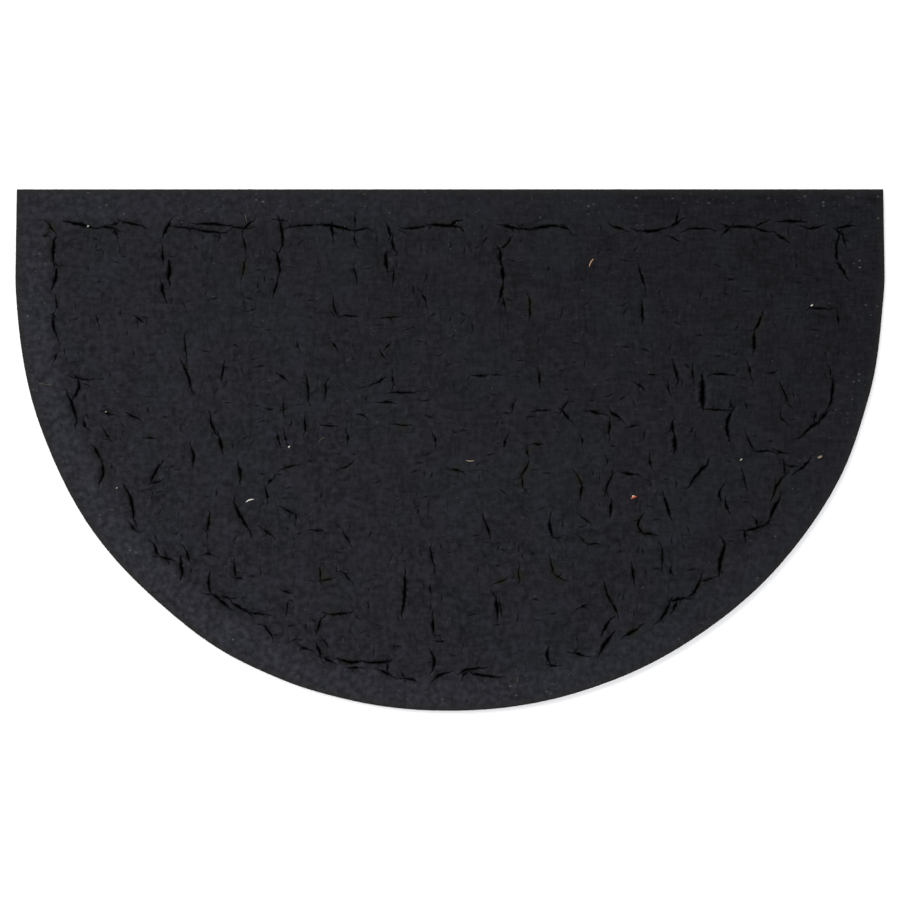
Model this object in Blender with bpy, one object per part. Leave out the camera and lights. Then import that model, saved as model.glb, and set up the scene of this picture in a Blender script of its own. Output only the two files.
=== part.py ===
"""Half round doormat: one moulded sheet of black rubber, laid with its moulded underside up.

The straight back edge lies towards +Y and the round front edge towards -Y. The plain walking side
lies on the ground at z = 0. The face that looks up has a plain border, and inside it an uneven
field, where the strips of rubber that filled the mould met and left creases.
"""
import math

import bmesh
import bpy
from mathutils import Vector

MM = 0.001

# Driving sizes of the mat, in metres
MAT_WIDTH = 0.750
MAT_DEPTH = 0.450
MAT_THICKNESS = 0.006
ROUND_RADIUS = MAT_WIDTH / 2
ROUND_CENTRE_Y = ROUND_RADIUS - MAT_DEPTH / 2
BACK_EDGE_Y = MAT_DEPTH / 2
CORNER_DRAW_IN = 1.2 * MM
RIM_ROUNDING = 1.4 * MM
RIM_ROUNDING_STEPS = 2
BORDER_WIDTH = 30 * MM
BORDER_BLEND = 22 * MM

# The field is ruled into cells this wide, so that it can swell and sink softly
FIELD_CELL = 18 * MM
BACK_EDGE_STEPS = 10
ROUND_EDGE_STEPS = 84

# The rubber was laid in the mould in strips, which met on joints at an even pitch
JOINT_PITCH = 96.3 * MM
FIRST_JOINT_X = -341 * MM
STRIP_CROWN = 0.45 * MM

# How far the round edge stands out past a true half circle
# angle from the right end in degrees, stand-out in mm
ROUND_EDGE_SWELLS = (
    (0, 0.0),
    (5, -0.9),
    (16, 1.0),
    (28, 3.8),
    (42, 3.2),
    (58, 1.6),
    (74, 0.7),
    (90, 0.0),
    (103, 0.8),
    (112, 2.1),
    (122, 3.4),
    (131, 2.4),
    (144, 3.6),
    (160, 1.5),
    (175, -0.4),
    (180, 0.0),
)

# Slow waves of the field
# wave length in mm, heading in degrees, height in mm, shift in turns
FIELD_WAVES = (
    (173, 24, 0.22, 0.10),
    (118, 97, 0.20, 0.35),
    (82, -38, 0.16, 0.62),
    (57, 61, 0.12, 0.80),
)

# Creases. Each row is one crease, in mm:
# start x, start y, end x, end y, bow to the left on the way, gape
BACK_SEAM = (
    (-331, 197, -305, 191, 0.0, 2.5),
    (-302, 192, -287, 190, 1.0, 2.0),
    (-219, 190, -197, 187, 0.0, 2.0),
    (-219, 195, -191, 193, 1.0, 2.2),
    (-178, 190, -171, 197, 0.0, 3.0),
    (-139, 192, -113, 194, 0.6, 1.8),
    (-111, 194, -85, 189, 1.2, 3.0),
    (-40, 191, -21, 193, -0.6, 2.0),
    (-18, 194, 9, 192, 0.9, 2.8),
    (46, 194, 57, 191, 0.0, 2.6),
    (71, 191, 95, 193, 0.8, 2.4),
    (140, 193, 150, 190, 0.0, 2.4),
    (164, 189, 188, 192, -1.4, 2.2),
    (191, 193, 198, 197, 0.0, 2.8),
    (240, 192, 262, 192, 0.6, 2.2),
    (264, 191, 275, 188, 0.0, 2.0),
    (286, 197, 304, 197, 0.4, 2.3),
    (306, 192, 320, 193, -1.4, 2.2),
    (333, 191, 348, 194, 0.0, 2.0),
    (-284, 197, -265, 193, 0.0, 1.7),
    (-102, 193, -101, 185, 0.0, 3.2),
    (203, 190, 225, 191, 0.5, 1.6),
    (282, 186, 291, 180, 0.0, 1.8),
)
STRIP_JOINTS = (
    (-347, 196, -341, 188, 0.0, 2.0),
    (-341, 182, -342, 161, -0.8, 3.0),
    (-339, 159, -343, 140, 1.0, 3.0),
    (-342, 117, -338, 96, -1.5, 2.4),
    (-241, 197, -247, 186, 0.0, 3.0),
    (-248, 173, -247, 162, 0.0, 2.0),
    (-242, 161, -243, 146, 0.6, 3.8),
    (-248, 144, -246, 131, -0.8, 2.6),
    (-147, 198, -145, 174, 1.4, 2.5),
    (-150, 171, -147, 152, 1.0, 2.3),
    (-149, 146, -152, 134, 0.0, 2.0),
    (-54, 194, -51, 184, 0.0, 2.5),
    (-50, 181, -48, 172, 0.0, 2.5),
    (-55, 170, -54, 156, -0.6, 2.8),
    (52, 183, 44, 174, 1.0, 2.0),
    (43, 173, 44, 159, 0.0, 2.4),
    (45, 158, 46, 146, 0.0, 3.0),
    (46, 144, 43, 130, 0.0, 2.3),
    (166, 127, 167, 112, -0.8, 2.5),
    (269, 117, 262, 103, 1.0, 2.3),
    (262, 101, 262, 86, 0.6, 2.9),
    (337, 188, 334, 163, -2.0, 2.5),
    (334, 161, 341, 150, 1.0, 2.3),
    (-178, 183, -176, 172, 0.0, 1.8),
    (-177, 163, -179, 150, 0.0, 1.7),
    (-101, 129, -97, 116, -0.6, 1.8),
    (68, 132, 69, 114, 0.6, 1.9),
    (163, 158, 168, 141, 0.0, 1.9),
    (309, 122, 329, 121, 0.8, 1.8),
)
FIELD_CREASES = (
    (-321, 61, -325, 45, 2.6, 2.5),
    (-330, 48, -322, 24, 1.5, 2.5),
    (-307, 3, -301, -8, 0.0, 2.3),
    (-301, -9, -302, -28, 2.4, 2.3),
    (-231, 75, -223, 53, 0.8, 2.3),
    (-207, 29, -201, 13, -0.8, 2.1),
    (-199, 11, -196, 0, 0.0, 2.9),
    (-223, 2, -222, -12, 1.4, 2.5),
    (-249, -12, -258, -28, -1.0, 2.2),
    (-281, -31, -273, -61, 2.8, 2.5),
    (-124, 63, -122, 41, 0.6, 2.1),
    (-182, -14, -180, -25, 0.0, 2.7),
    (-159, -32, -157, -43, 0.0, 2.1),
    (-186, -44, -172, -70, -1.4, 2.6),
    (-39, -108, -42, -142, 1.4, 3.0),
    (-52, 49, -31, 49, 0.5, 1.8),
    (77, 67, 77, 57, 0.0, 2.1),
    (96, 35, 103, 26, 0.0, 2.7),
    (120, 34, 131, 31, 0.0, 2.4),
    (138, 33, 148, 27, 0.0, 2.1),
    (138, 25, 137, 13, 0.0, 2.2),
    (218, 61, 218, 38, 0.0, 5.0),
    (193, 75, 197, 59, 0.0, 2.2),
    (225, 65, 242, 65, 0.5, 1.8),
    (192, 24, 192, 15, 0.0, 2.8),
    (194, 13, 194, -1, 0.0, 3.8),
    (244, 35, 241, 9, -3.6, 2.5),
    (330, 60, 327, 37, 1.4, 2.4),
    (325, 33, 320, 26, 0.0, 2.8),
    (319, 25, 304, 12, -1.0, 2.4),
    (222, -13, 207, -31, -1.6, 3.0),
    (289, -22, 279, -40, -2.0, 2.4),
    (285, -41, 276, -60, -0.8, 2.8),
    (272, -64, 254, -70, 0.8, 2.1),
    (299, -18, 310, -8, -1.4, 2.2),
    (150, -20, 159, -21, 0.0, 2.3),
    (184, -40, 190, -58, 0.6, 2.3),
    (165, -57, 167, -72, -3.5, 2.2),
    (139, -44, 139, -55, 0.0, 2.5),
    (86, -59, 89, -75, -1.0, 2.2),
    (40, -127, 41, -143, 0.0, 2.8),
    (133, -115, 140, -133, -1.0, 2.1),
    (138, -146, 131, -158, 0.0, 2.5),
    (157, -100, 159, -113, 0.0, 2.4),
    (-15, -144, -14, -158, 0.0, 2.1),
    (-115, -157, -111, -145, 0.0, 2.1),
    (-229, 97, -227, 78, 0.0, 1.7),
    (-195, 74, -197, 60, 0.0, 1.7),
    (-207, -56, -210, -71, 0.0, 1.9),
    (-107, 58, -107, 47, 0.0, 1.7),
    (-64, 57, -57, 62, 0.0, 2.4),
    (-60, 41, -49, 41, 0.0, 1.9),
    (-125, 27, -125, 16, 0.0, 2.2),
    (-149, 13, -146, 4, 0.0, 2.0),
    (-105, -142, -88, -141, 0.0, 1.7),
    (-186, -98, -185, -110, 0.0, 1.9),
    (-17, -83, -13, -102, -0.6, 1.7),
    (74, 34, 85, 34, 0.0, 2.0),
    (68, -11, 61, -23, 0.0, 2.0),
    (30, -60, 35, -74, 0.0, 1.9),
    (114, -31, 112, -41, 0.0, 2.2),
    (141, -20, 134, -38, -1.0, 1.8),
    (220, 35, 239, 34, 0.4, 1.7),
    (262, -1, 277, -1, 0.0, 1.8),
    (182, -83, 182, -99, 1.2, 1.8),
    (234, -33, 234, -44, -1.4, 2.0),
)
ROUND_SEAM = (
    (-256, -81, -251, -91, 0.0, 2.4),
    (-250, -92, -239, -95, 0.0, 2.1),
    (-228, -86, -225, -96, 0.0, 2.3),
    (-232, -96, -231, -109, 0.0, 3.2),
    (-207, -108, -206, -123, -1.6, 2.6),
    (-205, -124, -190, -136, 0.0, 2.6),
    (-188, -132, -174, -140, 0.0, 2.4),
    (-161, -151, -153, -162, 1.0, 2.2),
    (-115, -168, -111, -179, 0.6, 2.5),
    (-96, -180, -76, -182, -2.2, 2.6),
    (-73, -183, -52, -182, -1.0, 2.4),
    (-88, -188, -79, -188, 0.0, 2.2),
    (-60, -190, -50, -195, 0.0, 2.3),
    (-17, -173, -15, -190, 2.4, 2.5),
    (-14, -198, -1, -192, 1.4, 2.3),
    (9, -192, 27, -188, 1.2, 2.3),
    (19, -193, 40, -196, 0.0, 2.5),
    (84, -172, 86, -184, -0.8, 2.5),
    (141, -158, 129, -176, -0.8, 3.0),
    (152, -160, 163, -154, 0.0, 3.0),
    (190, -130, 181, -147, 0.8, 2.7),
    (203, -128, 192, -130, -0.4, 2.5),
    (216, -110, 205, -127, 2.4, 2.4),
    (237, -81, 232, -107, -0.6, 3.7),
    (-174, -140, -159, -142, 0.0, 1.7),
    (-110, -179, -100, -183, 0.0, 1.9),
    (107, -175, 116, -178, 0.0, 2.0),
    (228, -110, 218, -113, 0.0, 1.7),
)

# Section and course of a crease
CREASE_LIFT = 0.25 * MM
CREASE_STEP = 7 * MM
CREASE_END_SHARE = 0.12
CREASE_WANDER = 0.35 * MM
CREASE_SHALLOWEST = 1.0 * MM
CREASE_DEPTH_SHARE = 0.55
CREASE_DEEPEST = 3.2 * MM
CREASE_TAPER = 0.7

# Points nearer than this are one point, in the sheet and after the creases are cut
TOUCH = 1e-6
WELD_DISTANCE = 5e-6

# The rubber as it shows: near black with a cold cast, and almost dull
RUBBER_COLOUR = (0.0160, 0.0150, 0.0190, 1.0)
RUBBER_ROUGHNESS = 0.78


def clear_scene():
    for old in list(bpy.data.objects):
        bpy.data.objects.remove(old, do_unlink=True)


def new_collection(name):
    group = bpy.data.collections.new(name)
    bpy.context.scene.collection.children.link(group)
    return group


def rubber_material():
    rubber = bpy.data.materials.new("moulded black rubber")
    rubber.use_nodes = True
    shader = rubber.node_tree.nodes["Principled BSDF"]
    shader.inputs["Base Color"].default_value = RUBBER_COLOUR
    shader.inputs["Roughness"].default_value = RUBBER_ROUGHNESS
    shader.inputs["Metallic"].default_value = 0.0
    return rubber


def smooth_step(share):
    share = min(1.0, max(0.0, share))
    return share * share * (3.0 - 2.0 * share)


def swell_at(angle):
    """How far the round edge stands out at an angle in degrees from its right end."""
    for (low, low_swell), (high, high_swell) in zip(ROUND_EDGE_SWELLS, ROUND_EDGE_SWELLS[1:]):
        if angle <= high:
            share = smooth_step((angle - low) / (high - low))
            return (low_swell + (high_swell - low_swell) * share) * MM
    return 0.0


def mat_outline():
    """Places along the mat's outline, from the right end of the back edge round to the left."""
    half_back = MAT_WIDTH / 2 - CORNER_DRAW_IN
    places = []
    for step in range(BACK_EDGE_STEPS):
        places.append((half_back - 2 * half_back * step / BACK_EDGE_STEPS, BACK_EDGE_Y))
    places.append((-half_back, BACK_EDGE_Y))
    for step in range(ROUND_EDGE_STEPS + 1):
        angle = 180 - 180 * step / ROUND_EDGE_STEPS
        reach = ROUND_RADIUS + swell_at(angle)
        turn = math.radians(angle)
        places.append((reach * math.cos(turn), ROUND_CENTRE_Y - reach * math.sin(turn)))
    return places


def distance_to_edge(x, y):
    """How far a place on the mat lies inside its nearest edge."""
    to_back = BACK_EDGE_Y - y
    if y > ROUND_CENTRE_Y:
        return min(to_back, MAT_WIDTH / 2 - abs(x))
    return min(to_back, ROUND_RADIUS - math.hypot(x, y - ROUND_CENTRE_Y))


def face_height(x, y):
    """Height of the face that looks up: level in the border, swelling softly in the field."""
    along = (x - FIRST_JOINT_X) / JOINT_PITCH
    swell = STRIP_CROWN * (abs(math.sin(math.pi * along)) - 0.5)
    for length, heading, height, shift in FIELD_WAVES:
        turn = math.radians(heading)
        way = (x * math.cos(turn) + y * math.sin(turn)) / (length * MM)
        swell += height * MM * math.sin(2 * math.pi * (way + shift))
    field_share = smooth_step((distance_to_edge(x, y) - BORDER_WIDTH) / BORDER_BLEND)
    return MAT_THICKNESS + swell * field_share


def curve_to_mesh(curve_object, group):
    """Turn a curve into a closed mesh of the same name, in its place, and remove the curve."""
    name = curve_object.name
    evaluated = curve_object.evaluated_get(bpy.context.evaluated_depsgraph_get())
    mesh = bpy.data.meshes.new_from_object(evaluated)
    place = curve_object.matrix_world.copy()
    bpy.data.objects.remove(curve_object, do_unlink=True)
    form = bmesh.new()
    form.from_mesh(mesh)
    bmesh.ops.remove_doubles(form, verts=form.verts, dist=TOUCH)
    form.to_mesh(mesh)
    form.free()
    solid = bpy.data.objects.new(name, mesh)
    solid.matrix_world = place
    group.objects.link(solid)
    return solid


def flat_blank(name, group):
    """The mat's outline as a flat sheet, standing on z = 0."""
    curve = bpy.data.curves.new(name, "CURVE")
    curve.dimensions = "2D"
    curve.fill_mode = "BOTH"
    curve.extrude = MAT_THICKNESS / 2
    places = mat_outline()
    spline = curve.splines.new("POLY")
    spline.points.add(len(places) - 1)
    for point, (x, y) in zip(spline.points, places):
        point.co = (x, y, 0, 1)
    spline.use_cyclic_u = True
    blank = bpy.data.objects.new(name, curve)
    blank.location = (0, 0, MAT_THICKNESS / 2)
    group.objects.link(blank)
    bpy.context.view_layer.update()
    return curve_to_mesh(blank, group)


def is_level(part, height):
    return all(abs(vert.co.z - height) < TOUCH for vert in part.verts)


def level_faces(form, height):
    return [face for face in form.faces if is_level(face, height)]


def rule_face(form, axis, half_size):
    """Cut the upper face along lines a cell apart, square to one axis."""
    count = int(half_size / FIELD_CELL)
    for step in range(-count, count + 1):
        place = Vector((0, 0, 0))
        place[axis] = step * FIELD_CELL
        way = Vector((0, 0, 0))
        way[axis] = 1
        upper = level_faces(form, MAT_THICKNESS)
        parts = set(upper)
        for face in upper:
            parts.update(face.edges)
            parts.update(face.verts)
        bmesh.ops.bisect_plane(form, geom=list(parts), plane_co=place, plane_no=way, dist=TOUCH)


def shape_blank(mat):
    """Round the upper rim, then rule the upper face and let its field swell and sink."""
    mat.data.transform(mat.matrix_world)
    mat.matrix_world.identity()
    form = bmesh.new()
    form.from_mesh(mat.data)
    for height in (0.0, MAT_THICKNESS):
        bmesh.ops.dissolve_faces(form, faces=level_faces(form, height))
    rim = [edge for edge in form.edges if is_level(edge, MAT_THICKNESS)]
    bmesh.ops.bevel(form, geom=rim, offset=RIM_ROUNDING, segments=RIM_ROUNDING_STEPS,
                    profile=0.5, affect="EDGES")
    rule_face(form, 0, MAT_WIDTH / 2)
    rule_face(form, 1, MAT_DEPTH / 2)
    upper = level_faces(form, MAT_THICKNESS)
    inner = {v for face in upper for v in face.verts}
    bmesh.ops.triangulate(form, faces=upper)
    for vert in inner:
        vert.co.z = face_height(vert.co.x, vert.co.y)
    form.normal_update()
    form.to_mesh(mat.data)
    form.free()


def crease_course(row, wander_way):
    """Places along a crease from end to end, each with its share of the full gape."""
    start_x, start_y, end_x, end_y, bow, gape = row
    start = Vector((start_x, start_y)) * MM
    along = Vector((end_x, end_y)) * MM - start
    aside = Vector((-along.y, along.x)).normalized()
    steps = max(3, round(along.length / CREASE_STEP))
    for step in range(steps + 1):
        share = step / steps
        fullness = math.sin(math.pi * share)
        wander = CREASE_WANDER * fullness * (-1) ** step * wander_way
        bowed = bow * MM * 4 * share * (1 - share)
        open_share = CREASE_END_SHARE + (1 - CREASE_END_SHARE) * fullness ** CREASE_TAPER
        yield start + along * share + aside * (bowed + wander), open_share


def crease_cutter(name, row, wander_way, group):
    """A tapered four-sided bar along one crease, whose lower edge is the bottom of the crease."""
    gape = row[-1] * MM
    depth = min(CREASE_DEEPEST, CREASE_SHALLOWEST + CREASE_DEPTH_SHARE * gape) + CREASE_LIFT
    half_gape = gape / 2 * depth / (depth - CREASE_LIFT)
    course = list(crease_course(row, wander_way))

    curve = bpy.data.curves.new(name, "CURVE")
    curve.dimensions = "3D"
    curve.bevel_depth = half_gape
    curve.bevel_resolution = 0
    curve.use_fill_caps = True
    spline = curve.splines.new("POLY")
    spline.points.add(len(course) - 1)
    for point, (place, open_share) in zip(spline.points, course):
        point.co = (place.x, place.y, 0, 1)
        point.radius = open_share
    bar = bpy.data.objects.new(name, curve)
    group.objects.link(bar)
    bpy.context.view_layer.update()
    bar = curve_to_mesh(bar, group)
    for vert in bar.data.vertices:
        lower = vert.co.z * depth / half_gape
        vert.co.z = face_height(vert.co.x, vert.co.y) + CREASE_LIFT + lower
    bar.hide_render = True
    bar.display_type = "WIRE"


def cut_creases(mat, cutter_group):
    """Cut every crease, each with its wander to the other side than the one before."""
    rows = BACK_SEAM + STRIP_JOINTS + FIELD_CREASES + ROUND_SEAM
    for index, row in enumerate(rows):
        crease_cutter(f"crease_{index:03d}", row, (-1) ** index, cutter_group)
    cut = mat.modifiers.new("creases", "BOOLEAN")
    cut.operation = "DIFFERENCE"
    cut.solver = "EXACT"
    cut.operand_type = "COLLECTION"
    cut.collection = cutter_group
    weld = mat.modifiers.new("weld", "WELD")
    weld.merge_threshold = WELD_DISTANCE


def make_doormat():
    clear_scene()
    mat_group = new_collection("half_round_doormat")
    cutter_group = new_collection("crease_cutters")
    mat = flat_blank("moulded_mat", mat_group)
    shape_blank(mat)
    mat.data.materials.append(rubber_material())
    cut_creases(mat, cutter_group)


make_doormat()
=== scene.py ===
import math

import bmesh
import bpy
import numpy as np
from mathutils import Matrix, Vector
from mathutils.geometry import delaunay_2d_cdt


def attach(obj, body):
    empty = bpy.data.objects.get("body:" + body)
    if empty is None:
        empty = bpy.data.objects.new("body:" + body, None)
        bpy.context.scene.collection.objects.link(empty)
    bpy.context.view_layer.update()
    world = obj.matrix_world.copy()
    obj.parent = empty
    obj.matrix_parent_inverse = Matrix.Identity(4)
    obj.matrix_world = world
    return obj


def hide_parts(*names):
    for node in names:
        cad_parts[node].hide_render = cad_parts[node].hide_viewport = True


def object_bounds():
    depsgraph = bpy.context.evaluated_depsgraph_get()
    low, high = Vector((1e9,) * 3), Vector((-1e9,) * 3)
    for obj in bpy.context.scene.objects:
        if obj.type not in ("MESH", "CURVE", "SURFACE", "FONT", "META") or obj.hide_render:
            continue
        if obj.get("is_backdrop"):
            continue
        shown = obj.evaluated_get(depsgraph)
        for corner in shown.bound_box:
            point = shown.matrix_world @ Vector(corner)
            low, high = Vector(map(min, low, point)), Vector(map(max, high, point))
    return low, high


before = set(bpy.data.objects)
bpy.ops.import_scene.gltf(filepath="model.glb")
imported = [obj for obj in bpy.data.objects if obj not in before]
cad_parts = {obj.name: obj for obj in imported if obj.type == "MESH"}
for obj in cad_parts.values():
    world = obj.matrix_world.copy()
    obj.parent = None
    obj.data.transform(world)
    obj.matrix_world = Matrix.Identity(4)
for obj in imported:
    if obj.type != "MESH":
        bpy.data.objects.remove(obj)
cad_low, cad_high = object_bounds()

# Half round doormat, laid with its moulded rubber underside up. The straight back edge lies towards
# +Y and the round front edge towards -Y. Shapes are worked out in millimetres and made in metres.
MM = 0.001


# The camera looks straight down on the middle of the mat through a long lens, so that its rim shows
# no side. The mat's 750 mm width fills 870 of the picture's 900 pixels, as in the photo.
PICTURE_PIXELS = 900
MAT_PIXELS = 870
LENS = 180
SENSOR_WIDTH = 36

camera_data = bpy.data.cameras.new("overhead_camera")
camera_data.lens = LENS
camera_data.sensor_width = SENSOR_WIDTH
camera = bpy.data.objects.new("overhead_camera", camera_data)
picture_width = (cad_high.x - cad_low.x) * PICTURE_PIXELS / MAT_PIXELS
camera.location = (0, 0, cad_high.z + picture_width * LENS / SENSOR_WIDTH)
bpy.context.scene.collection.objects.link(camera)
bpy.context.scene.camera = camera


# The studio: a pale floor under the mat, and four broad soft lights around it, the left one much
# the strongest. Nothing bright stands straight above, so that the black rubber stays black.
FLOOR_SIZE = 12.0
FLOOR_DROP = 0.0002
PAINT_WHITE = "#FAFAFA"
PAINT_WHITEST = "#FDFDFD"
SKY_WHITE = "#F6F8FF"
SKY_STRENGTH = 0.42
LIGHT_SIZE = 2.2
LIGHT_DISTANCE = 3.4
# name, azimuth in degrees from +X, elevation in degrees, power in watts
STUDIO_LIGHTS = (
    ("left_light", 160, 30, 105),
    ("right_light", -8, 42, 36),
    ("back_light", 95, 38, 66),
    ("front_light", -85, 46, 50),
)


def linear(hex_colour):
    """An sRGB hex colour as linear red, green, blue and alpha."""
    parts = [int(hex_colour[place:place + 2], 16) / 255 for place in (1, 3, 5)]
    return tuple(p / 12.92 if p <= 0.04045 else ((p + 0.055) / 1.055) ** 2.4 for p in parts) + (1.0,)


def add_node(tree, kind, inputs=None, **settings):
    """Add one node with its settings. An input is a value, or another node's output to link to it."""
    node = tree.nodes.new(kind)
    for name, value in settings.items():
        setattr(node, name, value)
    for name, value in (inputs or {}).items():
        if isinstance(value, bpy.types.NodeSocket):
            tree.links.new(value, node.inputs[name])
        else:
            node.inputs[name].default_value = value
    return node


def new_material(name):
    """A material with only its shader and output, its node tree, and the shader."""
    material = bpy.data.materials.new(name)
    material.use_nodes = True
    return material, material.node_tree, material.node_tree.nodes["Principled BSDF"]


sky = bpy.data.worlds.new("studio_air")
sky.use_nodes = True
sky.node_tree.nodes["Background"].inputs["Color"].default_value = linear(SKY_WHITE)
sky.node_tree.nodes["Background"].inputs["Strength"].default_value = SKY_STRENGTH
bpy.context.scene.world = sky
bpy.context.scene.view_settings.view_transform = "Standard"

for name, azimuth, elevation, power in STUDIO_LIGHTS:
    light_data = bpy.data.lights.new(name, "AREA")
    light_data.shape = "DISK"
    light_data.size = LIGHT_SIZE
    light_data.energy = power
    light = bpy.data.objects.new(name, light_data)
    turn, rise = math.radians(azimuth), math.radians(elevation)
    way = Vector((math.cos(turn) * math.cos(rise), math.sin(turn) * math.cos(rise), math.sin(rise)))
    light.location = way * LIGHT_DISTANCE
    light.rotation_euler = way.to_track_quat("Z", "Y").to_euler()
    bpy.context.scene.collection.objects.link(light)

# Rolled white paint on board: matt and nearly even, with the faint clouding of a rolled coat.
floor_paint, paint_tree, paint_shader = new_material("rolled_white_paint")
paint_place = add_node(paint_tree, "ShaderNodeTexCoord")
paint_cloud = add_node(
    paint_tree, "ShaderNodeTexNoise", {"Vector": paint_place.outputs["Object"], "Scale": 3.0})
paint_tone = add_node(
    paint_tree, "ShaderNodeMixRGB",
    {"Fac": paint_cloud.outputs["Fac"], "Color1": linear(PAINT_WHITE), "Color2": linear(PAINT_WHITEST)})
paint_tree.links.new(paint_tone.outputs["Color"], paint_shader.inputs["Base Color"])
paint_shader.inputs["Roughness"].default_value = 0.9
paint_shader.inputs["Specular IOR Level"].default_value = 0.2

floor_form = bmesh.new()
bmesh.ops.create_grid(floor_form, x_segments=1, y_segments=1, size=FLOOR_SIZE / 2,
                      matrix=Matrix.Translation((0, 0, -FLOOR_DROP)))
floor_mesh = bpy.data.meshes.new("studio_floor")
floor_form.to_mesh(floor_mesh)
floor_form.free()
floor = bpy.data.objects.new("studio_floor", floor_mesh)
floor.data.materials.append(floor_paint)
bpy.context.scene.collection.objects.link(floor)
floor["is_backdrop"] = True


# The sheet's outline: a half disc of 375 mm radius with a 75 mm straight-sided strip behind it. The
# rubber was trimmed out of its mould by hand, so the round edge stands out by up to 4 mm in places
# and the two back corners are drawn in a little. The rim is rounded where it looks up.
HALF_WIDTH = 375.0
BACK_EDGE_Y = 225.0
ROUND_CENTRE_Y = 150.0
CORNER_DRAW_IN = 1.2
SHEET_THICKNESS = 6.0
RIM_ROUNDING = 1.4
RIM_ROUNDING_STEPS = 4
LOWER_RIM_ROUNDING = 0.35
RIM_STEP = 2.6
RIM_ROUGHNESS = 0.12
# angle from the right end in degrees, stand-out in mm
ROUND_EDGE_SWELLS = (
    (0, 0.0),
    (5, -0.9),
    (16, 1.0),
    (28, 3.8),
    (42, 3.2),
    (58, 1.6),
    (74, 0.7),
    (90, 0.0),
    (103, 0.8),
    (112, 2.1),
    (122, 3.4),
    (131, 2.4),
    (144, 3.6),
    (160, 1.5),
    (175, -0.4),
    (180, 0.0),
)


def soft(share):
    """0 below 0, 1 above 1, and a smooth rise between."""
    share = np.clip(share, 0.0, 1.0)
    return share * share * (3.0 - 2.0 * share)


def swell_at(angle):
    """How far the round edge stands out at an angle in degrees from its right end."""
    angles = np.array([row[0] for row in ROUND_EDGE_SWELLS], float)
    swells = np.array([row[1] for row in ROUND_EDGE_SWELLS])
    place = np.clip(np.searchsorted(angles, angle, side="right") - 1, 0, len(angles) - 2)
    share = soft((angle - angles[place]) / (angles[place + 1] - angles[place]))
    return swells[place] + (swells[place + 1] - swells[place]) * share


def half_width_at(y):
    """Half the width of the straight-sided strip, which is drawn in towards its corners."""
    return HALF_WIDTH - CORNER_DRAW_IN * (y - ROUND_CENTRE_Y) / (BACK_EDGE_Y - ROUND_CENTRE_Y)


def sheet_outline():
    """Points along the outline, from the right end of the back edge over the left and the front."""
    half_back = half_width_at(BACK_EDGE_Y)
    back_x = np.linspace(half_back, -half_back, round(2 * half_back / RIM_STEP) + 1)
    side_y = np.linspace(BACK_EDGE_Y, ROUND_CENTRE_Y, round((BACK_EDGE_Y - ROUND_CENTRE_Y) / RIM_STEP) + 1)
    angle = np.linspace(180, 0, round(math.pi * HALF_WIDTH / RIM_STEP) + 1)
    reach = HALF_WIDTH + swell_at(angle)
    back = np.column_stack([back_x, np.full_like(back_x, BACK_EDGE_Y)])
    left = np.column_stack([-half_width_at(side_y), side_y])
    turn = np.radians(angle)
    front = np.column_stack([reach * np.cos(turn), ROUND_CENTRE_Y - reach * np.sin(turn)])
    right = left[::-1] * (-1, 1)
    return np.vstack([back[:-1], left[:-1], front[:-1], right[:-1]])


def inward_steps(outline):
    """For each outline point, the step inwards that moves both its edges by 1 mm."""
    ahead = np.roll(outline, -1, axis=0) - outline
    ahead /= np.linalg.norm(ahead, axis=1)[:, None]
    normal = np.column_stack([-ahead[:, 1], ahead[:, 0]])
    before = np.roll(normal, 1, axis=0)
    return (normal + before) / (1 + (normal * before).sum(axis=1))[:, None]


def distance_to_rim(x, y):
    """How far a place on the sheet lies inside its nearest edge."""
    angle = np.degrees(np.arctan2(ROUND_CENTRE_Y - y, x))
    to_round = HALF_WIDTH + swell_at(np.clip(angle, 0, 180)) - np.hypot(x, y - ROUND_CENTRE_Y)
    to_side = half_width_at(y) - np.abs(x)
    return np.minimum(BACK_EDGE_Y - y, np.where(y > ROUND_CENTRE_Y, to_side, to_round))


# The face that looks up has a plain border about 30 mm wide. Inside it the strips of rubber that
# filled the mould, about 96 mm wide, stand up between their joints, and the field swells and sinks
# softly and unevenly, as a sheet does that was pressed from scraps.
BORDER_WIDTH = 30.0
BORDER_BLEND = 22.0
JOINT_PITCH = 96.3
FIRST_JOINT_X = -341.0
STRIP_CROWN = 0.45
# wave length in mm, heading in degrees, height in mm, shift in turns
FIELD_WAVES = (
    (173, 24, 0.22, 0.10),
    (118, 97, 0.20, 0.35),
    (82, -38, 0.16, 0.62),
    (57, 61, 0.12, 0.80),
)
# patch size in mm, height in mm in the field, height in mm in the border, seed
FACE_PATCHES = (
    (31, 0.16, 0.05, 11),
    (14, 0.13, 0.03, 12),
    (6.5, 0.08, 0.02, 13),
)
PATCH_LATTICE = 256
# how wide the level strip beside the rounded rim is, and the rise from it, in mm
LEVEL_AT_RIM = 0.3
RISE_FROM_RIM = 4.0


def patchy(x, y, size, seed):
    """Smooth random values from -1 to 1, in patches of about one size in mm."""
    lattice = np.random.default_rng(seed).uniform(-1, 1, (PATCH_LATTICE, PATCH_LATTICE))
    u, v = x / size, y / size
    column, row = np.floor(u).astype(int), np.floor(v).astype(int)
    along, up = soft(u - column), soft(v - row)
    c0, c1 = column % PATCH_LATTICE, (column + 1) % PATCH_LATTICE
    r0, r1 = row % PATCH_LATTICE, (row + 1) % PATCH_LATTICE
    lower = lattice[c0, r0] * (1 - along) + lattice[c1, r0] * along
    upper = lattice[c0, r1] * (1 - along) + lattice[c1, r1] * along
    return lower * (1 - up) + upper * up


def field_share(inset):
    """0 in the border and 1 in the field, from how far inside the rim a place lies."""
    return soft((inset - BORDER_WIDTH) / BORDER_BLEND)


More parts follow.
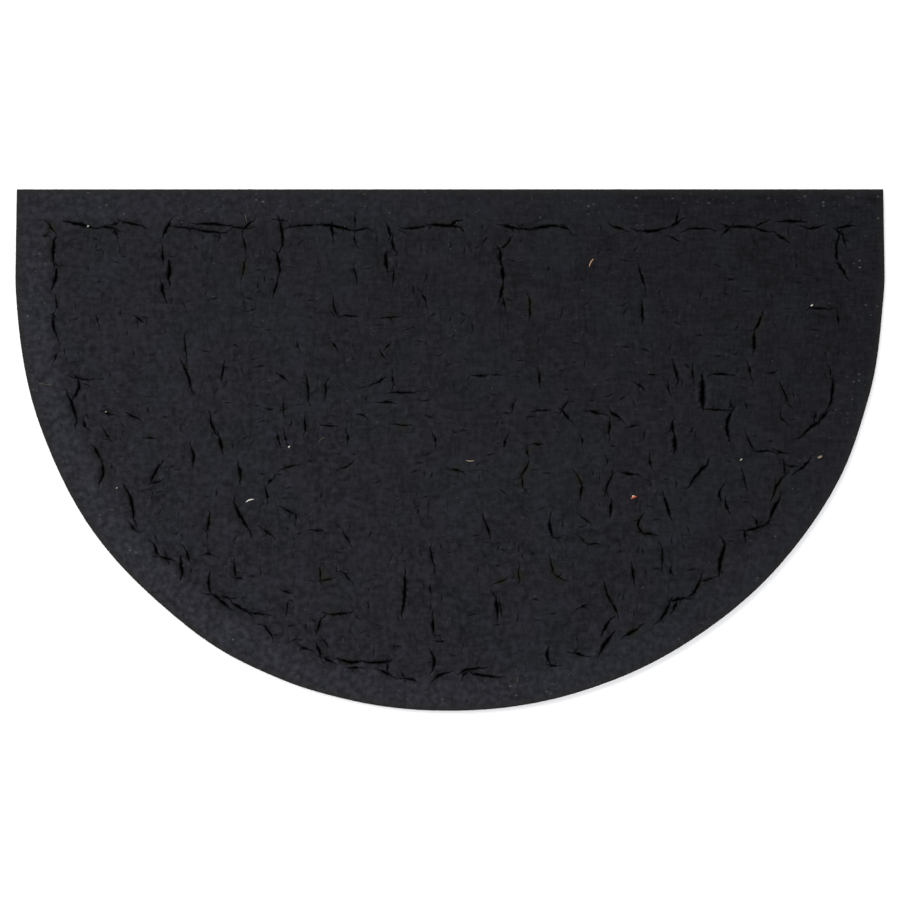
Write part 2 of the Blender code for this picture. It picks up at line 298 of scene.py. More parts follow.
def face_height(x, y):
    """Height of the face that looks up, before it is creased. The rim itself stays level."""
    inset = distance_to_rim(x, y)
    in_field = field_share(inset)
    swell = STRIP_CROWN * (np.abs(np.sin(math.pi * (x - FIRST_JOINT_X) / JOINT_PITCH)) - 0.5)
    for length, heading, height, shift in FIELD_WAVES:
        turn = math.radians(heading)
        way = (x * math.cos(turn) + y * math.sin(turn)) / length
        swell = swell + height * np.sin(2 * math.pi * (way + shift))
    patches = 0.0
    for size, in_field_height, in_border_height, seed in FACE_PATCHES:
        height = in_border_height + (in_field_height - in_border_height) * in_field
        patches = patches + height * patchy(x, y, size, seed)
    off_rim = soft((inset - RIM_ROUNDING - LEVEL_AT_RIM) / RISE_FROM_RIM)
    return SHEET_THICKNESS + swell * in_field + patches * off_rim


# Where the strips didn't knit together they left creases: a seam along the back and round edges of
# the field, joints between the strips, and short crooked ones all over the field. Each row is one
# crease, read off the photo, in mm:
# start x, start y, end x, end y, bow to the left on the way, gape
BACK_SEAM = (
    (-351, 184, -347, 185, 0.0, 1.5),
    (-331, 197, -305, 191, 0.0, 2.5),
    (-302, 192, -287, 190, 1.0, 2.0),
    (-290, 192, -287, 184, 0.0, 1.5),
    (-291, 194, -286, 196, 0.0, 1.5),
    (-284, 197, -265, 193, 0.0, 1.7),
    (-240, 193, -218, 190, 0.0, 1.5),
    (-219, 190, -197, 187, 0.0, 2.0),
    (-219, 195, -191, 193, 1.0, 2.2),
    (-188, 192, -172, 191, 0.0, 1.5),
    (-178, 190, -171, 197, 0.0, 3.0),
    (-149, 198, -142, 198, 0.0, 1.5),
    (-139, 192, -113, 194, 0.6, 1.8),
    (-111, 194, -85, 189, 1.2, 3.0),
    (-102, 193, -101, 185, 0.0, 3.2),
    (-84, 189, -70, 191, 0.0, 1.5),
    (-82, 201, -82, 196, 0.0, 2.0),
    (-83, 184, -81, 177, 0.0, 1.5),
    (-40, 191, -21, 193, -0.6, 2.0),
    (-18, 194, 9, 192, 0.9, 2.8),
    (0, 194, 8, 198, 0.0, 2.4),
    (46, 194, 57, 191, 0.0, 2.6),
    (57, 191, 72, 190, 0.0, 1.5),
    (71, 191, 95, 193, 0.8, 2.4),
    (95, 193, 103, 190, 0.0, 1.8),
    (140, 193, 150, 190, 0.0, 2.4),
    (164, 189, 188, 192, -1.4, 2.2),
    (191, 193, 198, 197, 0.0, 2.8),
    (196, 203, 195, 195, 0.0, 1.8),
    (190, 184, 198, 180, 0.0, 1.5),
    (203, 190, 225, 191, 0.5, 1.6),
    (236, 187, 242, 192, 0.0, 2.0),
    (236, 194, 241, 193, 0.0, 2.0),
    (240, 192, 262, 192, 0.6, 2.2),
    (262, 192, 274, 198, 0.0, 1.5),
    (264, 191, 275, 188, 0.0, 2.0),
    (286, 197, 304, 197, 0.4, 2.3),
    (282, 186, 291, 180, 0.0, 1.8),
    (306, 192, 320, 193, -1.4, 2.2),
    (333, 191, 348, 194, 0.0, 2.0),
)
STRIP_JOINTS = (
    (-347, 196, -341, 188, 0.0, 2.0),
    (-341, 182, -342, 161, -0.8, 3.0),
    (-339, 159, -343, 140, 1.0, 3.0),
    (-340, 131, -339, 122, 0.0, 1.5),
    (-342, 117, -338, 96, -1.5, 2.4),
    (-339, 83, -341, 77, 0.0, 1.5),
    (-241, 197, -247, 186, 0.0, 3.0),
    (-248, 173, -247, 162, 0.0, 2.0),
    (-242, 161, -243, 146, 0.6, 3.8),
    (-248, 144, -246, 131, -0.8, 2.6),
    (-178, 183, -176, 172, 0.0, 1.8),
    (-177, 163, -179, 150, 0.0, 1.7),
    (-147, 198, -145, 174, 1.4, 2.5),
    (-150, 171, -147, 152, 1.0, 2.3),
    (-149, 146, -152, 134, 0.0, 2.0),
    (-101, 129, -97, 116, -0.6, 1.8),
    (-83, 157, -80, 145, 0.0, 1.5),
    (-54, 194, -51, 184, 0.0, 2.5),
    (-50, 181, -48, 172, 0.0, 2.5),
    (-55, 170, -54, 156, -0.6, 2.8),
    (-48, 155, -49, 143, 0.0, 1.5),
    (52, 183, 44, 174, 1.0, 2.0),
    (43, 173, 44, 159, 0.0, 2.4),
    (45, 158, 46, 146, 0.0, 3.0),
    (46, 144, 43, 130, 0.0, 2.3),
    (46, 130, 48, 122, 0.0, 1.5),
    (68, 132, 69, 114, 0.6, 1.9),
    (163, 158, 168, 141, 0.0, 1.9),
    (166, 127, 167, 112, -0.8, 2.5),
    (269, 117, 262, 103, 1.0, 2.3),
    (262, 101, 262, 86, 0.6, 2.9),
    (338, 190, 341, 176, 0.0, 1.5),
    (337, 188, 334, 163, -2.0, 2.5),
    (334, 161, 341, 150, 1.0, 2.3),
    (334, 117, 335, 110, 0.0, 2.0),
    (333, 190, 338, 186, 0.0, 2.0),
    (309, 122, 329, 121, 0.8, 1.8),
)
LEFT_FIELD = (
    (-305, 114, -303, 110, 0.0, 1.5),
    (-271, 115, -265, 110, 0.0, 1.8),
    (-229, 97, -227, 78, 0.0, 1.7),
    (-327, 63, -310, 60, 0.0, 1.5),
    (-321, 61, -325, 45, 2.6, 2.5),
    (-330, 48, -322, 24, 1.5, 2.5),
    (-316, 25, -314, 19, 0.0, 2.0),
    (-299, 33, -292, 30, 0.0, 1.5),
    (-298, 16, -294, 10, 0.0, 1.5),
    (-307, 3, -301, -8, 0.0, 2.3),
    (-301, -9, -302, -28, 2.4, 2.3),
    (-277, 31, -269, 27, 0.0, 1.8),
    (-262, 10, -255, 10, 0.0, 1.5),
    (-231, 75, -223, 53, 0.8, 2.3),
    (-195, 74, -197, 60, 0.0, 1.7),
    (-207, 29, -201, 13, -0.8, 2.1),
    (-199, 11, -196, 0, 0.0, 2.9),
    (-223, 2, -222, -12, 1.4, 2.5),
    (-249, -12, -258, -28, -1.0, 2.2),
    (-258, -29, -249, -27, 0.0, 1.5),
    (-281, -31, -273, -61, 2.8, 2.5),
    (-275, -65, -271, -70, 0.0, 1.8),
    (-207, -56, -210, -71, 0.0, 1.9),
)
MIDDLE_FIELD = (
    (-92, 116, -80, 115, 0.0, 1.5),
    (-132, 92, -130, 88, 0.0, 1.5),
    (-101, 92, -98, 88, 0.0, 2.0),
    (-56, 114, -45, 115, 0.0, 1.5),
    (-55, 88, -52, 91, 0.0, 2.0),
    (-60, 84, -57, 80, 0.0, 1.5),
    (-25, 137, -20, 126, 0.0, 1.5),
    (-147, 65, -141, 61, 0.0, 1.8),
    (-124, 63, -122, 41, 0.6, 2.1),
    (-107, 58, -107, 47, 0.0, 1.7),
    (-64, 57, -57, 62, 0.0, 2.4),
    (-50, 64, -49, 56, 0.0, 1.5),
    (-52, 49, -31, 49, 0.5, 1.8),
    (-60, 41, -49, 41, 0.0, 1.9),
    (-157, 35, -153, 35, 0.0, 2.0),
    (-144, 41, -143, 31, 0.0, 1.5),
    (-125, 27, -125, 16, 0.0, 2.2),
    (-108, 21, -100, 21, 0.0, 1.5),
    (-78, 31, -73, 29, 0.0, 1.5),
    (-47, 22, -36, 21, 0.0, 1.5),
    (-149, 13, -146, 4, 0.0, 2.0),
    (-142, 12, -141, 8, 0.0, 2.0),
    (-88, 13, -88, 8, 0.0, 2.0),
    (-13, 11, -12, 7, 0.0, 2.0),
    (-182, -14, -180, -25, 0.0, 2.7),
    (-144, -16, -133, -13, 0.0, 1.5),
    (-153, -25, -157, -29, 0.0, 1.8),
    (-95, -16, -84, -11, -1.0, 1.5),
    (-159, -32, -157, -43, 0.0, 2.1),
    (-144, -50, -134, -55, 0.0, 1.6),
    (-133, -55, -133, -61, 0.0, 1.5),
    (-186, -44, -172, -70, -1.4, 2.6),
    (-161, -69, -154, -74, 0.0, 1.5),
    (-119, -69, -109, -70, 0.0, 1.5),
    (-92, -72, -86, -80, 0.0, 1.6),
    (22, 64, 29, 64, 0.0, 1.8),
    (38, 65, 42, 65, 0.0, 1.6),
    (77, 67, 77, 57, 0.0, 2.1),
    (55, 41, 54, 35, 0.0, 1.5),
    (74, 34, 85, 34, 0.0, 2.0),
    (48, 9, 47, 4, 0.0, 1.8),
    (72, 5, 79, 5, 0.0, 1.8),
    (66, 0, 67, -4, 0.0, 2.0),
    (1, -17, 9, -18, 0.0, 1.8),
    (68, -11, 61, -23, 0.0, 2.0),
    (62, -24, 63, -32, 0.0, 2.0),
    (30, -60, 35, -74, 0.0, 1.9),
)
RIGHT_FIELD = (
    (171, 65, 177, 65, 0.0, 1.4),
    (162, 56, 165, 55, 0.0, 2.0),
    (188, 57, 189, 50, 0.0, 1.8),
    (96, 34, 102, 42, 0.0, 1.5),
    (96, 35, 103, 26, 0.0, 2.7),
    (120, 34, 131, 31, 0.0, 2.4),
    (138, 33, 148, 27, 0.0, 2.1),
    (138, 25, 137, 13, 0.0, 2.2),
    (155, 20, 161, 21, 0.0, 1.5),
    (114, 11, 114, 6, 0.0, 1.8),
    (109, -20, 114, -31, 0.0, 1.5),
    (114, -31, 112, -41, 0.0, 2.2),
    (113, -58, 121, -63, 0.0, 1.5),
    (141, -20, 134, -38, -1.0, 1.8),
    (139, -44, 139, -55, 0.0, 2.5),
    (135, -8, 136, -11, 0.0, 1.5),
    (172, -6, 173, -14, 0.0, 1.8),
    (150, -20, 159, -21, 0.0, 2.3),
    (184, -40, 190, -58, 0.6, 2.3),
    (165, -57, 167, -72, -3.5, 2.2),
    (167, -72, 175, -72, 0.0, 1.9),
    (193, 75, 197, 59, 0.0, 2.2),
    (209, 70, 210, 61, 0.0, 1.5),
    (225, 65, 242, 65, 0.5, 1.8),
    (218, 61, 218, 38, 0.0, 5.0),
    (258, 72, 259, 66, 0.0, 2.5),
    (274, 66, 281, 67, 0.0, 1.5),
    (285, 56, 292, 39, 0.6, 1.4),
    (328, 70, 328, 64, 0.0, 1.5),
    (330, 60, 327, 37, 1.4, 2.4),
    (325, 33, 320, 26, 0.0, 2.8),
    (316, 32, 314, 25, 0.0, 1.5),
    (319, 25, 304, 12, -1.0, 2.4),
    (242, 41, 243, 36, 0.0, 1.5),
    (220, 35, 239, 34, 0.4, 1.7),
    (244, 35, 241, 9, -3.6, 2.5),
    (255, 40, 256, 36, 0.0, 1.5),
    (285, 31, 290, 24, -1.5, 1.5),
    (256, 12, 262, 0, 0.0, 1.5),
    (262, -1, 277, -1, 0.0, 1.8),
    (282, -1, 288, -3, 0.0, 2.0),
    (192, 24, 192, 15, 0.0, 2.8),
    (194, 13, 194, -1, 0.0, 3.8),
    (222, -13, 207, -31, -1.6, 3.0),
    (288, -10, 289, -21, 0.0, 1.6),
    (289, -22, 279, -40, -2.0, 2.4),
    (285, -41, 276, -60, -0.8, 2.8),
    (276, -61, 272, -65, 0.0, 1.5),
    (272, -64, 254, -70, 0.8, 2.1),
    (254, -70, 255, -76, 0.0, 2.0),
    (264, -60, 265, -66, 0.0, 1.8),
    (292, -14, 298, -14, 0.0, 1.6),
    (299, -18, 310, -8, -1.4, 2.2),
    (253, -20, 255, -31, 0.0, 1.4),
    (234, -33, 234, -44, -1.4, 2.0),
    (237, -44, 240, -52, 0.0, 2.0),
)
FRONT_FIELD = (
    (-211, -90, -206, -90, 0.0, 1.8),
    (-197, -126, -190, -128, 0.0, 1.5),
    (-186, -98, -185, -110, 0.0, 1.9),
    (-185, -110, -179, -111, 0.0, 1.4),
    (-144, -122, -137, -124, 0.0, 1.6),
    (-140, -131, -141, -142, 0.0, 1.4),
    (-112, -102, -112, -112, 0.0, 1.4),
    (-112, -113, -101, -111, 0.0, 1.4),
    (-115, -157, -111, -145, 0.0, 2.1),
    (-110, -163, -105, -169, 0.0, 1.6),
    (-94, -105, -86, -113, 1.0, 1.7),
    (-105, -142, -88, -141, 0.0, 1.7),
    (-39, -108, -42, -142, 1.4, 3.0),
    (-17, -83, -13, -102, -0.6, 1.7),
    (-17, -117, -17, -123, 0.0, 1.5),
    (-15, -144, -14, -158, 0.0, 2.1),
    (-12, -165, -5, -165, 0.0, 1.4),
    (40, -127, 41, -143, 0.0, 2.8),
    (43, -130, 44, -141, 0.0, 1.4),
    (40, -115, 48, -112, 0.0, 1.4),
    (59, -104, 60, -113, 0.0, 1.4),
    (87, -94, 90, -107, -0.6, 1.5),
    (90, -107, 98, -112, 0.0, 1.5),
    (113, -136, 117, -134, 0.0, 2.0),
    (133, -115, 140, -133, -1.0, 2.1),
    (141, -133, 144, -141, 0.0, 2.0),
    (138, -146, 131, -158, 0.0, 2.5),
    (157, -100, 159, -113, 0.0, 2.4),
    (182, -83, 182, -99, 1.2, 1.8),
    (120, -81, 127, -81, 0.0, 1.6),
    (113, -76, 116, -79, 0.0, 1.5),
    (86, -59, 89, -75, -1.0, 2.2),
    (190, -102, 191, -107, 0.0, 2.0),
)
ROUND_SEAM = (
    (-256, -81, -251, -91, 0.0, 2.4),
    (-250, -92, -239, -95, 0.0, 2.1),
    (-228, -86, -225, -96, 0.0, 2.3),
    (-232, -96, -231, -109, 0.0, 3.2),
    (-207, -108, -206, -123, -1.6, 2.6),
    (-205, -124, -190, -136, 0.0, 2.6),
    (-188, -132, -174, -140, 0.0, 2.4),
    (-174, -140, -159, -142, 0.0, 1.7),
    (-161, -151, -153, -162, 1.0, 2.2),
    (-128, -170, -122, -172, 0.0, 1.9),
    (-115, -168, -111, -179, 0.6, 2.5),
    (-110, -179, -100, -183, 0.0, 1.9),
    (-96, -180, -76, -182, -2.2, 2.6),
    (-73, -183, -52, -182, -1.0, 2.4),
    (-88, -188, -79, -188, 0.0, 2.2),
    (-60, -190, -50, -195, 0.0, 2.3),
    (-54, -184, -54, -192, 0.0, 1.5),
    (-42, -192, -39, -197, 0.0, 1.5),
    (-39, -197, -29, -199, 0.0, 1.5),
    (-17, -173, -15, -190, 2.4, 2.5),
    (-14, -198, -1, -192, 1.4, 2.3),
    (9, -192, 27, -188, 1.2, 2.3),
    (11, -195, 15, -191, 0.0, 1.8),
    (19, -193, 40, -196, 0.0, 2.5),
    (84, -172, 86, -184, -0.8, 2.5),
    (86, -185, 92, -187, 0.0, 2.2),
    (107, -175, 116, -178, 0.0, 2.0),
    (141, -158, 129, -176, -0.8, 3.0),
    (152, -160, 163, -154, 0.0, 3.0),
    (190, -130, 181, -147, 0.8, 2.7),
    (203, -128, 192, -130, -0.4, 2.5),
    (196, -131, 192, -139, 0.0, 2.3),
    (216, -110, 205, -127, 2.4, 2.4),
    (228, -110, 218, -113, 0.0, 1.7),
    (237, -81, 232, -107, -0.6, 3.7),
)
# Hollows: places where the strips nearly parted, which sink softly, stay closed and take a painted shade
SOFT_HOLLOWS = (
    (-330, 179, -320, 178, 0.0, 2.0),
    (-325, 132, -310, 131, 0.0, 2.0),
    (-147, 127, -146, 118, 0.0, 3.0),
    (-178, 128, -177, 118, 0.0, 3.0),
    (72, 196, 80, 200, 0.0, 2.4),
    (100, 201, 105, 195, 0.0, 2.4),
    (68, 182, 74, 178, 0.0, 1.8),
    (73, 146, 75, 138, 0.0, 2.6),
    (116, 122, 118, 100, 0.0, 2.2),
    (125, 106, 126, 100, 0.0, 2.2),
    (118, 93, 119, 84, 0.0, 2.2),
    (260, 185, 265, 177, 0.0, 2.2),
    (338, 130, 337, 119, 0.0, 2.4),
    (312, 118, 326, 114, 0.0, 2.0),
    (238, 148, 237, 132, 0.0, 2.0),
    (262, 167, 264, 162, 0.0, 2.4),
    (297, 171, 298, 166, 0.0, 2.2),
    (335, 90, 334, 82, 0.0, 2.6),
    (-275, 4, -278, -3, 0.0, 2.6),
    (-223, 50, -218, 44, 0.0, 2.2),
    (-254, -39, -247, -49, 0.0, 2.0),
    (-114, -61, -114, -66, 0.0, 2.6),
    (-65, -10, -57, -16, 0.0, 2.0),
    (-80, -27, -77, -24, 0.0, 2.4),
    (-83, -42, -72, -42, 0.0, 2.0),
    (50, -31, 60, -30, 0.0, 2.2),
    (60, -47, 66, -57, 0.0, 2.8),
    (67, -35, 70, -41, 0.0, 2.6),
    (95, -44, 96, -47, 0.0, 2.6),
    (111, -42, 113, -57, -1.0, 2.6),
    (-176, -90, -174, -98, 0.0, 2.6),
    (-155, -100, -157, -107, 0.0, 2.4),
    (-112, -93, -109, -100, 0.0, 2.4),
    (-36, -84, -31, -95, 0.0, 2.4),
    (-66, -115, -65, -123, 0.0, 2.2),
    (3, -121, 9, -130, 1.0, 2.8),
    (9, -130, 14, -135, 0.0, 2.8),
    (14, -140, 16, -152, 0.0, 3.0),
    (9, -80, 10, -90, 0.0, 2.2),
    (60, -75, 64, -85, 0.0, 2.6),
    (33, -90, 39, -93, 0.0, 2.2),
    (85, -138, 84, -150, 0.0, 2.2),
    (137, -84, 147, -78, 1.5, 3.0),
)
HAND_LAID = BACK_SEAM + STRIP_JOINTS + LEFT_FIELD + MIDDLE_FIELD + RIGHT_FIELD + FRONT_FIELD + ROUND_SEAM

# Section and course of a crease, in mm. Its depth, lip and painted shade are set by how far across it a
# place lies, counted in half gapes.
CREASE_STEP = 1.05
CREASE_END_SHARE = 0.25
CREASE_WANDER = 0.45
CREASE_WANDER_STEP = 2.3
CREASE_RAGGED = 0.32
CREASE_SHALLOWEST = 1.0
CREASE_DEPTH_SHARE = 0.55
CREASE_DEEPEST = 3.2
CREASE_REACH = 2.6
CUT_REACH = 1.15
CUT_POWER = 1.25
# painted shade in a crease: whole to this many half gapes across and gone this many further; its strength is
# at least this, and grows by this much for each mm of half gape
DARK_CORE = 0.1
DARK_FADE = 1.45
DARK_AT_LEAST = 0.15
DARK_FOR_GAPE = 0.75
LIP_HEIGHT = 0.22
LIP_PLACE = 1.9
LIP_SPREAD = 0.6
VALLEY_DEPTH = 0.40
VALLEY_REACH = 5.5
HOLLOW_DEPTH = 0.35
HOLLOW_DEPTH_REACH = 2.2
# painted shade in a hollow, and how many half gapes across it fades out
HOLLOW_PAINTED_SHADE = 0.35
HOLLOW_SHADE_REACH = 1.6

# A crease runs out in a finer tail at either end, and short cracks leave it sideways. Shallow nicks
# lie all over the field, most of them upright or level, as the strips were rolled. In the middle
# panel they are nearly all level. Lengths and gapes are from least to most, in mm.
TAIL_LENGTHS = (2.5, 7.0)
TAIL_GAPE_SHARES = (0.4, 0.6)
TAIL_TURN = 25
TAIL_BOW = 0.15
BRANCH_SPACING = 17.0
BRANCH_LENGTHS = (2.0, 5.0)
BRANCH_GAPES = (0.7, 1.3)
BRANCH_TURNS = (30, 80)
NICK_COUNT = 620
NICK_LENGTHS = (2.5, 8.5)
NICK_GAPES = (0.9, 1.9)
NICK_SPREAD = 16
NICK_BOW = 0.12
NICK_FIELD_X = (-345, 345)
NICK_FIELD_Y = (-197, 200)
LEVEL_ODDS = 0.45
MIDDLE_LEVEL_ODDS = 0.85
# how much painted shade and how deep each kind is beside a listed crease of the same gape
CREASE_KINDS = {"hand_laid": 1.0, "runner": 0.75, "nick": 0.5}
MIDDLE_PANEL_X = (-200, 195)
MIDDLE_PANEL_Y = (-15, 90)
MARK_SEED = 5


def ragged(share, length, random):
    """Random values from -1 to 1 along a crease, a wander step apart and straight between."""
    knots = np.linspace(0, 1, max(3, round(length / CREASE_WANDER_STEP)) + 1)
    return np.interp(share, knots, random.uniform(-1, 1, len(knots)))


def crease_course(row, random, running_out=False):
    """Points a step apart along a crease: x, y, half gape and depth. It is widest half way along,
    or at its start where it is running out."""
    start = np.array(row[0:2], float)
    along = np.array(row[2:4], float) - start
    bow, gape = row[4:6]
    length = np.hypot(*along)
    share = np.linspace(0, 1, max(2, round(length / CREASE_STEP)) + 1)
    fullness = np.cos(math.pi / 2 * share) if running_out else np.sin(math.pi * share)
    fullness = np.maximum(fullness, 0)
    aside = np.array((-along[1], along[0])) / length
    wander = CREASE_WANDER * min(1.0, gape / 1.5) * ragged(share, length, random)
    off_line = bow * 4 * share * (1 - share) + wander
    place = start + share[:, None] * along + off_line[:, None] * aside
    open_share = CREASE_END_SHARE + (1 - CREASE_END_SHARE) * fullness ** 0.6
    half_gape = gape / 2 * open_share * (1 + CREASE_RAGGED * ragged(share, length, random))
    depth = min(CREASE_DEEPEST, CREASE_SHALLOWEST + CREASE_DEPTH_SHARE * gape) * fullness ** 0.5
    return np.column_stack([place, half_gape, depth])


def tail_rows(course, random):
    """Rows of the two tails that carry a listed crease on past its ends."""
    gape = 2 * course[:, 2].max()
    for end, inner in ((0, 2), (-1, -3)):
        x, y = course[end, :2]
        way_x, way_y = course[end, :2] - course[inner, :2]
        turn = math.atan2(way_y, way_x) + math.radians(random.uniform(-TAIL_TURN, TAIL_TURN))
        reach = random.uniform(*TAIL_LENGTHS) * min(1.0, gape / 2)
        bow = random.uniform(-TAIL_BOW, TAIL_BOW) * reach
        yield (x, y, x + reach * math.cos(turn), y + reach * math.sin(turn), bow,
               gape * random.uniform(*TAIL_GAPE_SHARES))


def branch_rows(course, random):
    """Rows of the short cracks that run off a listed crease."""
    length = CREASE_STEP * (len(course) - 1)
    for _ in range(random.poisson(length / BRANCH_SPACING)):
        place = random.integers(0, len(course) - 1)
        x, y = course[place, :2]
        ahead_x, ahead_y = course[place + 1, :2] - course[place, :2]
        aside = random.choice((-1, 1)) * random.uniform(*BRANCH_TURNS)
        turn = math.atan2(ahead_y, ahead_x) + math.radians(aside)
        reach = random.uniform(*BRANCH_LENGTHS)
        end_x, end_y = x + reach * math.cos(turn), y + reach * math.sin(turn)
        yield (x, y, end_x, end_y, 0.0, random.uniform(*BRANCH_GAPES))


def nick_rows(random):
    """Rows of the nicks, scattered over the field."""
    for _ in range(NICK_COUNT):
        x, y = random.uniform(*NICK_FIELD_X), random.uniform(*NICK_FIELD_Y)
        level_odds = LEVEL_ODDS
        if MIDDLE_PANEL_X[0] < x < MIDDLE_PANEL_X[1] and MIDDLE_PANEL_Y[0] < y < MIDDLE_PANEL_Y[1]:
            level_odds = MIDDLE_LEVEL_ODDS
        heading = 0 if random.random() < level_odds else 90
        turn = math.radians(heading + random.normal(0, NICK_SPREAD))
        reach = random.uniform(*NICK_LENGTHS)
        end_x, end_y = x + reach * math.cos(turn), y + reach * math.sin(turn)
        if min(distance_to_rim(x, y), distance_to_rim(end_x, end_y)) > BORDER_WIDTH:
            bow = random.uniform(-NICK_BOW, NICK_BOW) * reach
            yield (x, y, end_x, end_y, bow, random.uniform(*NICK_GAPES))


mark_random = np.random.default_rng(MARK_SEED)
hand_laid = [crease_course(row, mark_random) for row in HAND_LAID]
runner_rows = []
for course in hand_laid:
    runner_rows += list(tail_rows(course, mark_random)) + list(branch_rows(course, mark_random))
runners = [crease_course(row, mark_random, running_out=True) for row in runner_rows]
nicks = [crease_course(row, mark_random) for row in nick_rows(mark_random)]
hollows = [crease_course(row, mark_random) for row in SOFT_HOLLOWS]


# The sheet's mesh. Its points lie close together along every crease and about 3 mm apart
# elsewhere, and the creases' own middle lines are edges of it, so that they stay sharp.
FACE_POINT_SPACING = 2.9
BASE_POINT_SPACING = 30.0
SHAKE = 0.22
ACROSS_CREASE = (0.5, 1.05, 1.8)
ACROSS_HOLLOW = (0.8, 1.6)
LEAST_REACH = 0.55
CLEAR_OF_CREASE = 1.5
CLEAR_OF_RIM = 1.3
BASE_CLEAR_OF_RIM = 4
SAME_POINT = 0.34
FILL_TOUCH = 1e-5
SHARP_ANGLE = 62


def beside(course, shares):
    """Points beside a crease, on both sides, at these shares of its half gape."""
    ahead = np.gradient(course[:, :2], axis=0)
    ahead /= np.linalg.norm(ahead, axis=1)[:, None]
    aside = np.column_stack([-ahead[:, 1], ahead[:, 0]]) * np.maximum(course[:, 2], LEAST_REACH)[:, None]
    return np.vstack([course[:, :2] + side * share * aside for share in shares for side in (-1, 1)])


def point_grid(spacing, random):
    """Points in staggered rows over the whole sheet, each shaken a little."""
    columns = np.arange(-HALF_WIDTH, HALF_WIDTH, spacing)
    rows = np.arange(ROUND_CENTRE_Y - HALF_WIDTH, BACK_EDGE_Y, spacing * math.sqrt(0.75))
    x, y = np.meshgrid(columns, rows)
    x = x + spacing / 2 * (np.arange(len(rows)) % 2)[:, None]
    places = np.column_stack([x.ravel(), y.ravel()])
    return places + random.uniform(-SHAKE, SHAKE, places.shape) * spacing


def clear_of(places, marks, distance):
    """The places that lie clear of all the marks."""
    spare = 3
    cells = np.zeros((int(2 * HALF_WIDTH / distance) + 2 * spare + 2,) * 2, bool)
    for step_x in (-distance, 0, distance):
        for step_y in (-distance, 0, distance):
            cell = ((marks + (step_x, step_y) + HALF_WIDTH) / distance).astype(int) + spare
            cells[cell[:, 0], cell[:, 1]] = True
    cell = ((places + HALF_WIDTH) / distance).astype(int) + spare
    return places[~cells[cell[:, 0], cell[:, 1]]]


def fill_loop(loop, inner, inner_edges=()):
    """Fill a loop with triangles through the inner points: the places after the loop's own, and the
    triangles, which count the loop's places first."""
    filled = delaunay_2d_cdt([Vector(place) for place in np.vstack([loop, inner])], inner_edges,
                             [list(range(len(loop)))], 1, FILL_TOUCH)
    place_of, added = [], []
    for place, origins in zip(filled[0], filled[3]):
        if origins and min(origins) < len(loop):
            place_of.append(min(origins))
        else:
            place_of.append(len(loop) + len(added))
            added.append(tuple(place))
    return np.array(added), [[place_of[corner] for corner in triangle] for triangle in filled[2]]


def distance_along(places, course):
    """For each place, its distance to a crease, and the half gape and depth where it is nearest."""
    start, step = course[:-1], np.diff(course, axis=0)
    offset = places[:, None, :] - start[None, :, :2]
    share = (offset * step[None, :, :2]).sum(axis=2) / (step[:, :2] ** 2).sum(axis=1)
    share = np.clip(share, 0, 1)
    gap = offset - share[:, :, None] * step[None, :, :2]
    distance = np.hypot(gap[:, :, 0], gap[:, :, 1])
    nearest = distance.argmin(axis=1)
    every = np.arange(len(places))
    section = start[nearest] + share[every, nearest][:, None] * step[nearest]
    return distance[every, nearest], section[:, 2], section[:, 3]


def crease_marks(places):
    """What the creases and hollows give each place: depth, lip, painted shade, and the valley round a
    listed crease, where the strips drew apart as they cooled. A lip is from 0 to 1."""
    depth, lip, darkness, valley = np.zeros((4, len(places)))
    by_x = np.argsort(places[:, 0])
    sorted_x = places[by_x, 0]
    for kind, courses in (
            ("hand_laid", hand_laid), ("runner", runners), ("nick", nicks), ("hollow", hollows)):
        for course in courses:
            margin = 2 * CREASE_REACH * course[:, 2].max() + 0.5
            if kind == "hand_laid":
                margin = VALLEY_REACH
            first = np.searchsorted(sorted_x, course[:, 0].min() - margin)
            last = np.searchsorted(sorted_x, course[:, 0].max() + margin)
            near = by_x[first:last]
            y = places[near, 1]
            near = near[(y > course[:, 1].min() - margin) & (y < course[:, 1].max() + margin)]
            if not len(near):
                continue
            distance, half_gape, full_depth = distance_along(places[near], course)
            across = distance / np.maximum(half_gape, LEAST_REACH)
            if kind == "hollow":
                sunk = HOLLOW_DEPTH * (1 - soft(across / HOLLOW_DEPTH_REACH))
                raised = 0 * across
                dark = HOLLOW_PAINTED_SHADE * (1 - soft(across / HOLLOW_SHADE_REACH))
            else:
                share = CREASE_KINDS[kind] * np.clip(DARK_AT_LEAST + DARK_FOR_GAPE * half_gape, 0, 1)
                sunk = CREASE_KINDS[kind] * full_depth * np.clip(1 - across / CUT_REACH, 0, 1) ** CUT_POWER
                raised = share * np.exp(-((across - LIP_PLACE) / LIP_SPREAD) ** 2)
                dark = share * (1 - soft((across - DARK_CORE) / DARK_FADE))
            if kind == "hand_laid":
                fall = 1 - soft((distance - half_gape) / (VALLEY_REACH - 1))
                valley[near] = np.maximum(valley[near], fall * np.clip(full_depth, 0, 1))
            depth[near] = np.maximum(depth[near], sunk)
            lip[near] = np.maximum(lip[near], raised)
            darkness[near] = np.maximum(darkness[near], dark)
    return depth, lip, darkness, valley


shape_random = np.random.default_rng(MARK_SEED + 1)
outline = sheet_outline()
steps_in = inward_steps(outline)
rim_shift = shape_random.uniform(-RIM_ROUGHNESS, RIM_ROUGHNESS, len(outline))
outline = outline + steps_in * np.abs(rim_shift)[:, None]

# inset in mm, height in mm, from the base round the rim to the face
rim_rings = [(LOWER_RIM_ROUNDING, 0.0), (0.0, LOWER_RIM_ROUNDING)]
for step in range(RIM_ROUNDING_STEPS + 1):
    turn = math.pi / 2 * step / RIM_ROUNDING_STEPS
    height = SHEET_THICKNESS - RIM_ROUNDING * (1 - math.sin(turn))
    rim_rings.append((RIM_ROUNDING * (1 - math.cos(turn)), height))
rings = [outline + steps_in * inset for inset, height in rim_rings]
count = len(outline)

